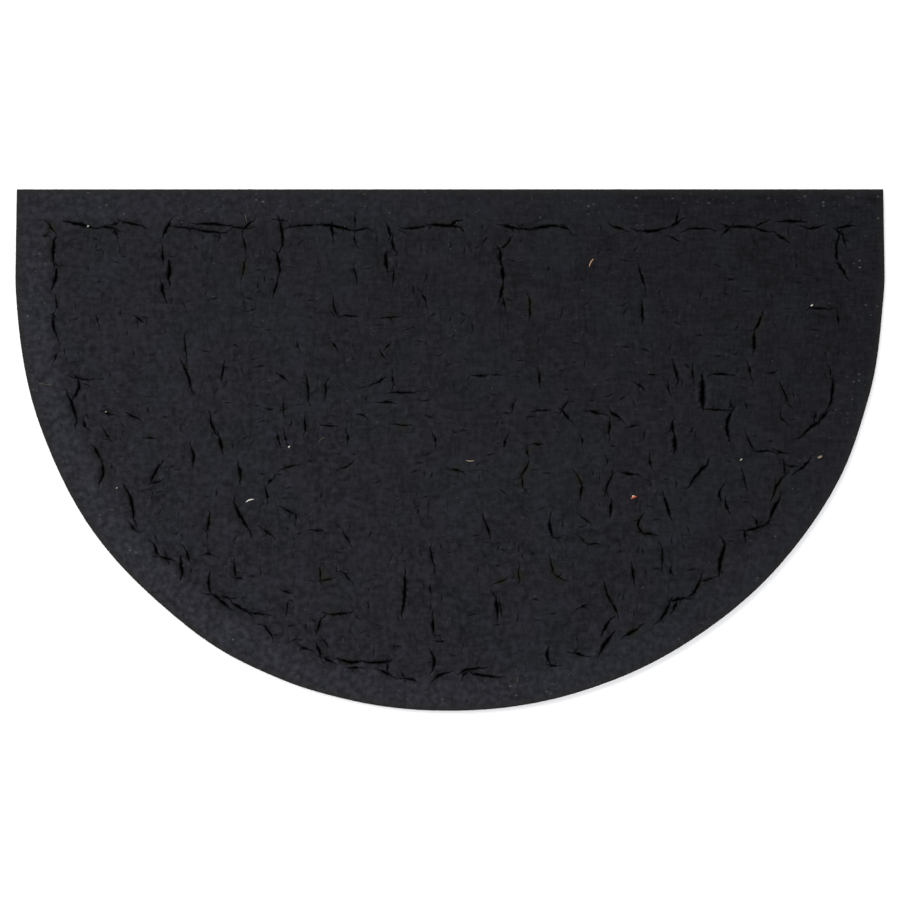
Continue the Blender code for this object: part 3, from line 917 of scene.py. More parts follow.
middle_points, middle_edges, side_points = [], [], []
reached = 0
for course in hand_laid + runners + nicks:
    middle_points.append(course[:, :2])
    middle_edges += [(reached + place, reached + place + 1) for place in range(len(course) - 1)]
    reached += len(course)
    side_points.append(beside(course, ACROSS_CREASE))
for course in hollows:
    side_points.append(beside(course, ACROSS_HOLLOW))
marked = np.vstack(middle_points + side_points)
grid = point_grid(FACE_POINT_SPACING, shape_random)
grid = grid[distance_to_rim(grid[:, 0], grid[:, 1]) > RIM_ROUNDING + CLEAR_OF_RIM]
grid = clear_of(grid, marked, CLEAR_OF_CREASE)
face_points = np.vstack([marked, grid])
cells = np.floor(face_points / SAME_POINT).astype(int)
_, first_in_cell, cell_of = np.unique(cells, axis=0, return_index=True, return_inverse=True)
cell_of = cell_of.ravel()
face_edges = {(count + cell_of[a], count + cell_of[b]) for a, b in middle_edges if cell_of[a] != cell_of[b]}
face_places, face_triangles = fill_loop(
    rings[-1], face_points[first_in_cell], [(int(a), int(b)) for a, b in sorted(face_edges)])

base_grid = point_grid(BASE_POINT_SPACING, shape_random)
base_grid = base_grid[distance_to_rim(base_grid[:, 0], base_grid[:, 1]) > BASE_CLEAR_OF_RIM]
base_places, base_triangles = fill_loop(rings[0], base_grid)

crease_depth, crease_lip, crease_painted_shade, crease_valley = crease_marks(face_places)
face_sunk = crease_depth + VALLEY_DEPTH * crease_valley - LIP_HEIGHT * crease_lip
face_z = face_height(face_places[:, 0], face_places[:, 1]) - face_sunk
face_inset = distance_to_rim(face_places[:, 0], face_places[:, 1])

sheet_points = []
for ring, (inset, height) in zip(rings, rim_rings):
    sheet_points.append(np.column_stack([ring, np.full(count, height)]))
sheet_points.append(np.column_stack([face_places, face_z]))
sheet_points.append(np.column_stack([base_places, np.zeros(len(base_places))]))
sheet_points = np.vstack(sheet_points) * MM

last_ring = count * (len(rings) - 1)
first_base = last_ring + count + len(face_places)
sheet_faces = []
for ring in range(len(rings) - 1):
    low, high = ring * count, (ring + 1) * count
    for place in range(count):
        ahead = (place + 1) % count
        sheet_faces.append((low + place, low + ahead, high + ahead, high + place))
sheet_faces += [tuple(last_ring + corner for corner in triangle) for triangle in face_triangles]
for triangle in base_triangles:
    sheet_faces.append(tuple(c if c < count else first_base + c - count for c in reversed(triangle)))

sheet_mesh = bpy.data.meshes.new("moulded_sheet")
sheet_mesh.from_pydata(sheet_points.tolist(), [], sheet_faces)
sheet_mesh.shade_smooth()
sheet_mesh.set_sharp_from_angle(angle=math.radians(SHARP_ANGLE))

# What the sheet's finish reads at each point: how much painted shade it takes in a crease or hollow,
# how high on a crease's lip and how deep in its valley it lies, and how far inside the rim. Litter, which
# the grains and fibres follow, lies in patches about 21 mm wide, mostly on the border and off the very rim.
LITTER_PATCH = 21
LITTER_SEED = 21
LITTER_IN_FIELD = 0.10
LITTER_BLEND = 16
LITTER_BLEND_START = 4
LITTER_CONTRAST = 1.2
LITTER_LEVEL = 0.1
LITTER_OFF_RIM = 3
LITTER_RISE = 5
litter_patches = patchy(face_places[:, 0], face_places[:, 1], LITTER_PATCH, LITTER_SEED)
border_share = 1 - soft((face_inset - BORDER_WIDTH + LITTER_BLEND_START) / LITTER_BLEND)
litter = LITTER_IN_FIELD + (1 - LITTER_IN_FIELD) * border_share
litter = litter * soft(LITTER_CONTRAST * litter_patches + LITTER_LEVEL)
litter = litter * soft((face_inset - LITTER_OFF_RIM) / LITTER_RISE)
for name, on_face in (
        ("crease", crease_painted_shade),
        ("lip", crease_lip),
        ("valley", crease_valley),
        ("inset", face_inset * MM),
        ("litter", litter)):
    values = np.concatenate([np.zeros(count * len(rings)), on_face, np.zeros(len(base_places))])
    layer = sheet_mesh.attributes.new(name, "FLOAT", "POINT")
    layer.data.foreach_set("value", values.astype(np.float32))


# Compression-moulded reclaimed rubber: black crumb pressed and cured against a steel plate. It is
# dull and nearly black with a cold cast, clouded where the crumb differs, with a fine crossed grain
# from the plate's finish and a thin film of pale dust. The grain is drawn about 1.3 mm wide, a
# little coarser than the real plate's, so that it still shows at the picture's size.
RUBBER_DARK = "#020203"
RUBBER_PALE = "#17161C"
RUBBER_TEAL = "#15191D"
# painted shade for the valleys and the wrinkles
PAINTED_SHADE_DARK = "#060607"
# painted shade for the creases and the hollows
CREASE_PAINTED_SHADE_BLACK = "#010101"
OLIVE_STAIN = "#16160E"
RIM_TINGE = "#1D1B17"
# the dust film's colour, also used as the painted highlight on the crease lips
DUST_FILM_AND_LIP_HIGHLIGHT = "#2A2A30"
DUST_FLECK = "#4A4946"
# layer, size along x in mm, size along y in mm, octaves, share of the tone, height in mm
RUBBER_LAYERS = (
    ("clouds", 70, 60, 1, 0.20, 0.0),
    ("lumps", 15, 17, 2, 0.60, 0.55),
    ("upright_dashes", 3.0, 10, 1, 0.75, 0.22),
    ("level_dashes", 10, 2.6, 1, 0.85, 0.22),
    ("upright_grain", 1.2, 5, 1, 0.60, 0.07),
    ("grit", 1.2, 1.2, 2, 0.60, 0.06),
)
# wrinkles, size along x in mm, size along y in mm, jaggedness, width, darkness of the painted shade, depth in
# mm
WRINKLE_SETS = (
    ("level_wrinkles", 34, 14, 0.5, 0.055, 0.32, 0.30),
    ("upright_wrinkles", 14, 30, 0.5, 0.055, 0.32, 0.30),
    ("crossing_wrinkles", 21, 21, 0.7, 0.050, 0.28, 0.25),
)
WRINKLE_PATCH = 38
# how far inside the rim the field and the border begin and are whole, in mm
FIELD_INSETS = (28, 36)
BORDER_INSETS = (34, 22)
# the way towards which more film is mixed in, paling the rubber, where along it that starts and ends, and its
# most
PALER_FILM_WAY = (-0.9, -1.1, 0.0)
PALER_FILM_REACH = (-0.45, 0.35)
DUST_MOST = 0.40
DUST_MORE_ON_BORDER = 0.7
# how much painted highlight the crease lips take, in the dust film's colour, in patches
LIP_HIGHLIGHT_SHARE = 0.35
FLECK_CELL = (5.2, 3.6, 4.0)
FLECK_RADII = (0.30, 0.05)
FLECK_ODDS = 0.62
FLECK_IN_FIELD = 0.30
RIM_WEAR_WIDTH = 7
RIM_WEAR = 0.6
RUBBER_ROUGHNESS = 0.78
RUBBER_SHINE = 0.08

rubber, rubber_tree, rubber_shader = new_material("compression_moulded_reclaimed_rubber")
rubber_place = add_node(rubber_tree, "ShaderNodeTexCoord").outputs["Object"]
rim_inset = add_node(rubber_tree, "ShaderNodeAttribute", attribute_name="inset").outputs["Fac"]
crease_shade_share = add_node(rubber_tree, "ShaderNodeAttribute", attribute_name="crease").outputs["Fac"]
valley_share = add_node(rubber_tree, "ShaderNodeAttribute", attribute_name="valley").outputs["Fac"]
field_range = add_node(rubber_tree, "ShaderNodeMapRange", {
    "Value": rim_inset, "From Min": FIELD_INSETS[0] * MM, "From Max": FIELD_INSETS[1] * MM})
rubber_field = field_range.outputs["Result"]
border_range = add_node(rubber_tree, "ShaderNodeMapRange", {
    "Value": rim_inset, "From Min": BORDER_INSETS[0] * MM, "From Max": BORDER_INSETS[1] * MM})
rubber_border = border_range.outputs["Result"]

# Tone and height share one noise, so raised places are painted paler and low ones darker: painted relief
# shading, mostly in the lumps and dashes, over the crumb's own tone.
rubber_tone, rubber_relief = 0.5, 0.0
for name, size_x, size_y, octaves, tone_share, height in RUBBER_LAYERS:
    scaled = add_node(
        rubber_tree, "ShaderNodeMapping",
        {"Vector": rubber_place, "Scale": (1 / (size_x * MM), 1 / (size_y * MM), 1 / (size_x * MM))})
    noise = add_node(
        rubber_tree, "ShaderNodeTexNoise",
        {"Vector": scaled.outputs["Vector"], "Scale": 1.0, "Detail": octaves}, name=name)
    centred = add_node(
        rubber_tree, "ShaderNodeMath", {0: noise.outputs["Fac"], 1: 0.5}, operation="SUBTRACT")
    toned = add_node(rubber_tree, "ShaderNodeMath", {
        0: centred.outputs["Value"], 1: tone_share, 2: rubber_tone}, operation="MULTIPLY_ADD")
    raised = add_node(rubber_tree, "ShaderNodeMath", {
        0: centred.outputs["Value"], 1: height, 2: rubber_relief}, operation="MULTIPLY_ADD")
    rubber_tone, rubber_relief = toned.outputs["Value"], raised.outputs["Value"]

# The crumb's own hue turns from violet to a colder teal in patches about 70 mm wide
hue_noise = add_node(
    rubber_tree, "ShaderNodeTexNoise", {"Vector": rubber_place, "Scale": 14.0, "Detail": 2.0})
hue_share = add_node(rubber_tree, "ShaderNodeMapRange", {
    "Value": hue_noise.outputs["Fac"], "From Min": 0.48, "From Max": 0.58, "To Min": 0.0, "To Max": 0.8})
rubber_hue = add_node(rubber_tree, "ShaderNodeMixRGB", {
    "Fac": hue_share.outputs["Result"], "Color1": linear(RUBBER_PALE), "Color2": linear(RUBBER_TEAL)})
rubber_shade = add_node(
    rubber_tree, "ShaderNodeMixRGB",
    {"Fac": rubber_tone, "Color1": linear(RUBBER_DARK), "Color2": rubber_hue.outputs["Color"]})

# The dust film: in patches, and thicker on the border; it is also mixed in more towards the left and
# the front, paling that side
paler_film_place = add_node(
    rubber_tree, "ShaderNodeVectorMath", {0: rubber_place, 1: PALER_FILM_WAY}, operation="DOT_PRODUCT")
paler_film_side = add_node(rubber_tree, "ShaderNodeMapRange", {
    "Value": paler_film_place.outputs["Value"], "From Min": PALER_FILM_REACH[0], "From Max": PALER_FILM_REACH[1],
    "To Min": 0.0, "To Max": DUST_MOST})
dust_noise = add_node(
    rubber_tree, "ShaderNodeTexNoise", {"Vector": rubber_place, "Scale": 190.0, "Detail": 4.0})
dust_patches = add_node(rubber_tree, "ShaderNodeMapRange", {
    "Value": dust_noise.outputs["Fac"], "From Min": 0.40, "From Max": 0.70,
    "To Min": 0.35, "To Max": 1.4})
dust_border = add_node(rubber_tree, "ShaderNodeMath", {
    0: rubber_border, 1: DUST_MORE_ON_BORDER, 2: 1.0}, operation="MULTIPLY_ADD")
dust_even = add_node(rubber_tree, "ShaderNodeMath", {
    0: paler_film_side.outputs["Result"], 1: dust_patches.outputs["Result"]}, operation="MULTIPLY")
dust_share = add_node(rubber_tree, "ShaderNodeMath", {
    0: dust_even.outputs["Value"], 1: dust_border.outputs["Value"]}, operation="MULTIPLY")
rubber_dusty = add_node(rubber_tree, "ShaderNodeMixRGB", {
    "Fac": dust_share.outputs["Value"],
    "Color1": rubber_shade.outputs["Color"], "Color2": linear(DUST_FILM_AND_LIP_HIGHLIGHT)})

# Dust flecks: pressed-in grains too small to model, one or so in each cell, in patches about 20 mm
# wide, and brightest on the border
fleck_cells = add_node(rubber_tree, "ShaderNodeMapping", {
    "Vector": rubber_place, "Scale": tuple(1 / (size * MM) for size in FLECK_CELL)})
flecks = add_node(
    rubber_tree, "ShaderNodeTexVoronoi", {"Vector": fleck_cells.outputs["Vector"], "Scale": 1.0})
fleck_spots = add_node(rubber_tree, "ShaderNodeMapRange", {
    "Value": flecks.outputs["Distance"], "From Min": FLECK_RADII[0], "From Max": FLECK_RADII[1],
    "To Min": 0.0, "To Max": 1.0})
fleck_odds = add_node(rubber_tree, "ShaderNodeSeparateColor", {"Color": flecks.outputs["Color"]})
fleck_chosen = add_node(rubber_tree, "ShaderNodeMapRange", {
    "Value": fleck_odds.outputs["Red"], "From Min": FLECK_ODDS, "From Max": 1.0,
    "To Min": 0.0, "To Max": 1.0})
fleck_bright = add_node(rubber_tree, "ShaderNodeMapRange", {
    "Value": rubber_border, "From Min": 0.0, "From Max": 1.0,
    "To Min": FLECK_IN_FIELD, "To Max": 1.0})
fleck_part = add_node(rubber_tree, "ShaderNodeMath", {
    0: fleck_spots.outputs["Result"], 1: fleck_chosen.outputs["Result"]}, operation="MULTIPLY")
fleck_noise = add_node(
    rubber_tree, "ShaderNodeTexNoise", {"Vector": rubber_place, "Scale": 50.0, "Detail": 1.0})
fleck_patches = add_node(rubber_tree, "ShaderNodeMapRange", {
    "Value": fleck_noise.outputs["Fac"], "From Min": 0.42, "From Max": 0.62, "To Min": 0.0, "To Max": 1.0})
fleck_clump = add_node(rubber_tree, "ShaderNodeMath", {
    0: fleck_part.outputs["Value"], 1: fleck_patches.outputs["Result"]}, operation="MULTIPLY")
fleck_share = add_node(rubber_tree, "ShaderNodeMath", {
    0: fleck_clump.outputs["Value"], 1: fleck_bright.outputs["Result"]}, operation="MULTIPLY")
rubber_flecked = add_node(rubber_tree, "ShaderNodeMixRGB", {
    "Fac": fleck_share.outputs["Value"],
    "Color1": rubber_dusty.outputs["Color"], "Color2": linear(DUST_FLECK)})

# Wrinkles: soft wandering folds in patches over the field, where the rubber crept in the mould. Each
# set follows the middle level of a noise, and one patch noise decides where it shows. Each fold is
# lowered in the bump and darkened with painted shade.
wrinkle_patches = add_node(rubber_tree, "ShaderNodeTexNoise", {
    "Vector": rubber_place, "Scale": 1 / (WRINKLE_PATCH * MM), "Detail": 1.0})
wrinkle_split = add_node(
    rubber_tree, "ShaderNodeSeparateColor", {"Color": wrinkle_patches.outputs["Color"]})
wrinkle_painted_shade = 0.0
for (name, size_x, size_y, jaggedness, width, darkness, depth), channel in zip(
        WRINKLE_SETS, wrinkle_split.outputs):
    scaled = add_node(
        rubber_tree, "ShaderNodeMapping",
        {"Vector": rubber_place, "Scale": (1 / (size_x * MM), 1 / (size_y * MM), 1 / (size_x * MM))})
    noise = add_node(rubber_tree, "ShaderNodeTexNoise", {
        "Vector": scaled.outputs["Vector"], "Scale": 1.0, "Detail": 1.0, "Distortion": jaggedness}, name=name)
    above_middle = add_node(
        rubber_tree, "ShaderNodeMath", {0: noise.outputs["Fac"], 1: 0.5}, operation="SUBTRACT")
    off_line = add_node(
        rubber_tree, "ShaderNodeMath", {0: above_middle.outputs["Value"]}, operation="ABSOLUTE")
    line = add_node(
        rubber_tree, "ShaderNodeMapRange",
        {"Value": off_line.outputs["Value"], "From Min": width, "From Max": 0.0},
        interpolation_type="SMOOTHSTEP")
    patch = add_node(rubber_tree, "ShaderNodeMapRange", {
        "Value": channel, "From Min": 0.48, "From Max": 0.60, "To Min": 0.0, "To Max": 1.0})
    shown = add_node(rubber_tree, "ShaderNodeMath", {
        0: line.outputs["Result"], 1: patch.outputs["Result"]}, operation="MULTIPLY")
    in_field = add_node(rubber_tree, "ShaderNodeMath", {
        0: shown.outputs["Value"], 1: rubber_field}, operation="MULTIPLY")
    darkened = add_node(rubber_tree, "ShaderNodeMath", {
        0: in_field.outputs["Value"], 1: darkness, 2: wrinkle_painted_shade}, operation="MULTIPLY_ADD")
    lowered = add_node(rubber_tree, "ShaderNodeMath", {
        0: in_field.outputs["Value"], 1: -depth, 2: rubber_relief}, operation="MULTIPLY_ADD")
    wrinkle_painted_shade, rubber_relief = darkened.outputs["Value"], lowered.outputs["Value"]
rubber_wrinkled = add_node(rubber_tree, "ShaderNodeMixRGB", {
    "Fac": wrinkle_painted_shade, "Color1": rubber_flecked.outputs["Color"], "Color2": linear(PAINTED_SHADE_DARK)})

# The raised lips of the creases take a patchy painted highlight in the dust film's colour. Painted shade
# darkens the valleys along the creases, with an olive stain in some of them. The rim is worn brown, and the
# creases are painted near black as painted shade, with their shine taken away.
lip_share = add_node(rubber_tree, "ShaderNodeAttribute", attribute_name="lip").outputs["Fac"]
lip_highlight_patches = add_node(rubber_tree, "ShaderNodeMath", {
    0: lip_share, 1: dust_patches.outputs["Result"]}, operation="MULTIPLY")
lip_painted_highlight = add_node(rubber_tree, "ShaderNodeMath", {
    0: lip_highlight_patches.outputs["Value"], 1: LIP_HIGHLIGHT_SHARE}, operation="MULTIPLY")
rubber_lip_highlighted = add_node(rubber_tree, "ShaderNodeMixRGB", {
    "Fac": lip_painted_highlight.outputs["Value"],
    "Color1": rubber_wrinkled.outputs["Color"], "Color2": linear(DUST_FILM_AND_LIP_HIGHLIGHT)})
valley_noise = add_node(
    rubber_tree, "ShaderNodeTexNoise", {"Vector": rubber_place, "Scale": 210.0, "Detail": 3.0})
valley_patches = add_node(rubber_tree, "ShaderNodeMapRange", {
    "Value": valley_noise.outputs["Fac"], "From Min": 0.35, "From Max": 0.65,
    "To Min": 0.15, "To Max": 0.85})
valley_painted_shade = add_node(rubber_tree, "ShaderNodeMath", {
    0: valley_share, 1: valley_patches.outputs["Result"]}, operation="MULTIPLY")
rubber_valley_shaded = add_node(rubber_tree, "ShaderNodeMixRGB", {
    "Fac": valley_painted_shade.outputs["Value"],
    "Color1": rubber_lip_highlighted.outputs["Color"], "Color2": linear(PAINTED_SHADE_DARK)})
stain_noise = add_node(
    rubber_tree, "ShaderNodeTexNoise", {"Vector": rubber_place, "Scale": 24.0, "Detail": 3.0})
stain_patches = add_node(rubber_tree, "ShaderNodeMapRange", {
    "Value": stain_noise.outputs["Fac"], "From Min": 0.52, "From Max": 0.68,
    "To Min": 0.0, "To Max": 0.75})
stain_share = add_node(rubber_tree, "ShaderNodeMath", {
    0: stain_patches.outputs["Result"], 1: valley_share}, operation="MULTIPLY")
rubber_stained = add_node(rubber_tree, "ShaderNodeMixRGB", {
    "Fac": stain_share.outputs["Value"],
    "Color1": rubber_valley_shaded.outputs["Color"], "Color2": linear(OLIVE_STAIN)})
rim_share = add_node(rubber_tree, "ShaderNodeMapRange", {
    "Value": rim_inset, "From Min": RIM_WEAR_WIDTH * MM, "From Max": 0.0,
    "To Min": 0.0, "To Max": RIM_WEAR})
rubber_rim = add_node(rubber_tree, "ShaderNodeMixRGB", {
    "Fac": rim_share.outputs["Result"],
    "Color1": rubber_stained.outputs["Color"], "Color2": linear(RIM_TINGE)})
rubber_crease_shaded = add_node(rubber_tree, "ShaderNodeMixRGB", {
    "Fac": crease_shade_share, "Color1": rubber_rim.outputs["Color"], "Color2": linear(CREASE_PAINTED_SHADE_BLACK)})
rubber_tree.links.new(rubber_crease_shaded.outputs["Color"], rubber_shader.inputs["Base Color"])

rubber_shader.inputs["Roughness"].default_value = RUBBER_ROUGHNESS
shine = add_node(rubber_tree, "ShaderNodeMapRange", {
    "Value": crease_shade_share, "From Min": 0.0, "From Max": 0.8, "To Min": RUBBER_SHINE, "To Max": 0.0})
rubber_tree.links.new(shine.outputs["Result"], rubber_shader.inputs["Specular IOR Level"])
rubber_bump = add_node(
    rubber_tree, "ShaderNodeBump", {"Height": rubber_relief, "Distance": MM, "Strength": 1.0})
rubber_tree.links.new(rubber_bump.outputs["Normal"], rubber_shader.inputs["Normal"])

moulded_sheet = bpy.data.objects.new("moulded_sheet", sheet_mesh)
moulded_sheet.data.materials.append(rubber)
bpy.context.scene.collection.objects.link(moulded_sheet)
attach(moulded_sheet, "root")
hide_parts("moulded_mat")


# Dust grains: sand and grit trodden through the mat, lying in patches and mostly on the border.
# Each is a flattened grain half a millimetre or so across, stuck to the rubber.
GRAINS_PER_SQUARE_METRE = 14000
GRAIN_RADIUS = 0.36
GRAIN_LEAST_STRETCH = (0.5, 0.5, 0.3)
GRAIN_MOST_STRETCH = (1.5, 1.1, 0.7)
GRAIN_TILT = 0.2
GRAIN_SEED = 8
GRAIN_DARK = "#24221F"
GRAIN_PALE = "#555149"


def new_geometry_tree(name, inputs):
    """A node tree that takes and gives geometry, and has these number inputs, with their sockets."""
    tree = bpy.data.node_groups.new(name, "GeometryNodeTree")
    tree.interface.new_socket("Geometry", in_out="OUTPUT", socket_type="NodeSocketGeometry")
    tree.interface.new_socket("Geometry", in_out="INPUT", socket_type="NodeSocketGeometry")
    for label, socket_type in inputs:
        tree.interface.new_socket(label, in_out="INPUT", socket_type=socket_type)
    return tree, add_node(tree, "NodeGroupInput"), add_node(tree, "NodeGroupOutput")


def grown_on(source, name, tree, values):
    """A new piece of the geometry that a node tree grows on a source piece."""
    modifier = source.modifiers.new(name, "NODES")
    modifier.node_group = tree
    for item in tree.interface.items_tree:
        if item.in_out == "INPUT" and item.name in values:
            modifier[item.identifier] = values[item.name]
    bpy.context.view_layer.update()
    evaluated = source.evaluated_get(bpy.context.evaluated_depsgraph_get())
    mesh = bpy.data.meshes.new_from_object(evaluated)
    source.modifiers.remove(modifier)
    mesh.name = name
    piece = bpy.data.objects.new(name, mesh)
    bpy.context.scene.collection.objects.link(piece)
    return piece


grit, grit_tree, grit_shader = new_material("trodden_sand_grit")
grit_shade = add_node(grit_tree, "ShaderNodeAttribute", attribute_name="shade")
grit_tone = add_node(grit_tree, "ShaderNodeMixRGB", {
    "Fac": grit_shade.outputs["Fac"], "Color1": linear(GRAIN_DARK), "Color2": linear(GRAIN_PALE)})
grit_tree.links.new(grit_tone.outputs["Color"], grit_shader.inputs["Base Color"])
grit_shader.inputs["Roughness"].default_value = 0.9

grain_tree, grain_in, grain_out = new_geometry_tree("grain_scatter", (
    ("Density", "NodeSocketFloat"), ("Radius", "NodeSocketFloat"), ("Seed", "NodeSocketInt")))
litter_field = add_node(
    grain_tree, "GeometryNodeInputNamedAttribute", {"Name": "litter"}, data_type="FLOAT")
grain_density = add_node(
    grain_tree, "ShaderNodeMath",
    {0: litter_field.outputs["Attribute"], 1: grain_in.outputs["Density"]}, operation="MULTIPLY")
grain_points = add_node(grain_tree, "GeometryNodeDistributePointsOnFaces", {
    "Mesh": grain_in.outputs["Geometry"], "Density": grain_density.outputs["Value"],
    "Seed": grain_in.outputs["Seed"]})
grain_form = add_node(
    grain_tree, "GeometryNodeMeshIcoSphere", {"Radius": grain_in.outputs["Radius"], "Subdivisions": 1})
grain_size = add_node(
    grain_tree, "FunctionNodeRandomValue",
    {0: GRAIN_LEAST_STRETCH, 1: GRAIN_MOST_STRETCH}, data_type="FLOAT_VECTOR")
grain_turn = add_node(
    grain_tree, "FunctionNodeRandomValue",
    {0: (-GRAIN_TILT, -GRAIN_TILT, 0.0), 1: (GRAIN_TILT, GRAIN_TILT, math.tau), "Seed": 3},
    data_type="FLOAT_VECTOR")
grain_copies = add_node(grain_tree, "GeometryNodeInstanceOnPoints", {
    "Points": grain_points.outputs["Points"], "Instance": grain_form.outputs["Mesh"],
    "Rotation": grain_turn.outputs["Value"], "Scale": grain_size.outputs["Value"]})
grain_shade = add_node(
    grain_tree, "FunctionNodeRandomValue", {2: 0.0, 3: 1.0, "Seed": 5}, data_type="FLOAT")
grain_shaded = add_node(
    grain_tree, "GeometryNodeStoreNamedAttribute",
    {"Geometry": grain_copies.outputs["Instances"], "Name": "shade", "Value": grain_shade.outputs[1]},
    data_type="FLOAT", domain="INSTANCE")
grain_real = add_node(
    grain_tree, "GeometryNodeRealizeInstances", {"Geometry": grain_shaded.outputs["Geometry"]})
grain_set = add_node(
    grain_tree, "GeometryNodeSetMaterial", {"Geometry": grain_real.outputs["Geometry"], "Material": grit})
grain_tree.links.new(grain_set.outputs["Geometry"], grain_out.inputs["Geometry"])
dust_grains = grown_on(moulded_sheet, "dust_grains", grain_tree, {
    "Density": float(GRAINS_PER_SQUARE_METRE), "Radius": GRAIN_RADIUS * MM, "Seed": GRAIN_SEED})
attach(dust_grains, "root")


# Coir fibres: broken hairs of the mat's brush side, a quarter of a millimetre thick, which lie about
# on the border and here and there on the field. The surface carries them, so they follow it.
FIBRES_PER_SQUARE_METRE = 420
FIBRE_LENGTH = 8.0
FIBRE_RADIUS = 0.13
FIBRE_LENGTH_SHARES = (0.35, 1.4)
FIBRE_STEPS = 12
FIBRE_SIDES = 5
FIBRE_BEND = 1.6
FIBRE_LIFT = 0.12
# each fibre is let down on the sheet from this height, and may fall this far, in metres
DROP_HEIGHT = 0.02
DROP_LENGTH = 0.1
FIBRE_SEED = 4
FIBRE_DARK = "#2A2319"
FIBRE_PALE = "#645640"

coir, coir_tree, coir_shader = new_material("retted_coir_fibre")
coir_shade = add_node(coir_tree, "ShaderNodeAttribute", attribute_name="shade")
coir_tone = add_node(coir_tree, "ShaderNodeMixRGB", {
    "Fac": coir_shade.outputs["Fac"], "Color1": linear(FIBRE_DARK), "Color2": linear(FIBRE_PALE)})
coir_tree.links.new(coir_tone.outputs["Color"], coir_shader.inputs["Base Color"])
coir_shader.inputs["Roughness"].default_value = 0.7

fibre_tree, fibre_in, fibre_out = new_geometry_tree(
    "fibre_scatter", (("Density", "NodeSocketFloat"), ("Length", "NodeSocketFloat"),
                      ("Radius", "NodeSocketFloat"), ("Bend", "NodeSocketFloat"),
                      ("Lift", "NodeSocketFloat"), ("Seed", "NodeSocketInt")))
fibre_litter = add_node(
    fibre_tree, "GeometryNodeInputNamedAttribute", {"Name": "litter"}, data_type="FLOAT")
fibre_density = add_node(
    fibre_tree, "ShaderNodeMath",
    {0: fibre_litter.outputs["Attribute"], 1: fibre_in.outputs["Density"]}, operation="MULTIPLY")
fibre_points = add_node(fibre_tree, "GeometryNodeDistributePointsOnFaces", {
    "Mesh": fibre_in.outputs["Geometry"], "Density": fibre_density.outputs["Value"],
    "Seed": fibre_in.outputs["Seed"]})
fibre_half = add_node(
    fibre_tree, "ShaderNodeMath", {0: fibre_in.outputs["Length"], 1: 0.5}, operation="MULTIPLY")
fibre_back = add_node(
    fibre_tree, "ShaderNodeMath", {0: fibre_in.outputs["Length"], 1: -0.5}, operation="MULTIPLY")
fibre_start = add_node(fibre_tree, "ShaderNodeCombineXYZ", {"X": fibre_back.outputs["Value"]})
fibre_end = add_node(fibre_tree, "ShaderNodeCombineXYZ", {"X": fibre_half.outputs["Value"]})
fibre_line = add_node(fibre_tree, "GeometryNodeCurvePrimitiveLine", {
    "Start": fibre_start.outputs["Vector"], "End": fibre_end.outputs["Vector"]})
fibre_turn = add_node(
    fibre_tree, "FunctionNodeRandomValue",
    {0: (0.0, 0.0, 0.0), 1: (0.0, 0.0, math.tau)}, data_type="FLOAT_VECTOR")
fibre_size = add_node(
    fibre_tree, "FunctionNodeRandomValue",
    {2: FIBRE_LENGTH_SHARES[0], 3: FIBRE_LENGTH_SHARES[1], "Seed": 2}, data_type="FLOAT")
fibre_copies = add_node(fibre_tree, "GeometryNodeInstanceOnPoints", {
    "Points": fibre_points.outputs["Points"], "Instance": fibre_line.outputs["Curve"],
    "Rotation": fibre_turn.outputs["Value"], "Scale": fibre_size.outputs[1]})
fibre_shade = add_node(
    fibre_tree, "FunctionNodeRandomValue", {2: 0.0, 3: 1.0, "Seed": 7}, data_type="FLOAT")
fibre_shaded = add_node(
    fibre_tree, "GeometryNodeStoreNamedAttribute",
    {"Geometry": fibre_copies.outputs["Instances"], "Name": "shade", "Value": fibre_shade.outputs[1]},
    data_type="FLOAT", domain="INSTANCE")
fibre_real = add_node(
    fibre_tree, "GeometryNodeRealizeInstances", {"Geometry": fibre_shaded.outputs["Geometry"]})
fibre_fine = add_node(
    fibre_tree, "GeometryNodeResampleCurve",
    {"Curve": fibre_real.outputs["Geometry"], "Count": FIBRE_STEPS})

# Bend each fibre with a slow noise, then let it down on the sheet
fibre_noise = add_node(fibre_tree, "ShaderNodeTexNoise", {"Scale": 160.0, "Detail": 1.0})
fibre_sway = add_node(
    fibre_tree, "ShaderNodeVectorMath",
    {0: fibre_noise.outputs["Color"], 1: (0.5, 0.5, 0.5)}, operation="SUBTRACT")
fibre_sway_size = add_node(
    fibre_tree, "ShaderNodeMath", {0: fibre_in.outputs["Bend"], 1: 2.0}, operation="MULTIPLY")
fibre_offset = add_node(
    fibre_tree, "ShaderNodeVectorMath",
    {0: fibre_sway.outputs["Vector"], "Scale": fibre_sway_size.outputs["Value"]}, operation="SCALE")
fibre_bent = add_node(fibre_tree, "GeometryNodeSetPosition", {
    "Geometry": fibre_fine.outputs["Curve"], "Offset": fibre_offset.outputs["Vector"]})
fibre_place = add_node(fibre_tree, "GeometryNodeInputPosition")
fibre_above = add_node(
    fibre_tree, "ShaderNodeVectorMath",
    {0: fibre_place.outputs["Position"], 1: (0.0, 0.0, DROP_HEIGHT)}, operation="ADD")
fibre_drop = add_node(fibre_tree, "GeometryNodeRaycast", {
    "Target Geometry": fibre_in.outputs["Geometry"], "Source Position": fibre_above.outputs["Vector"],
    "Ray Direction": (0.0, 0.0, -1.0), "Ray Length": DROP_LENGTH})
fibre_lift = add_node(fibre_tree, "ShaderNodeCombineXYZ", {"Z": fibre_in.outputs["Lift"]})
fibre_down = add_node(
    fibre_tree, "ShaderNodeVectorMath",
    {0: fibre_drop.outputs["Hit Position"], 1: fibre_lift.outputs["Vector"]}, operation="ADD")
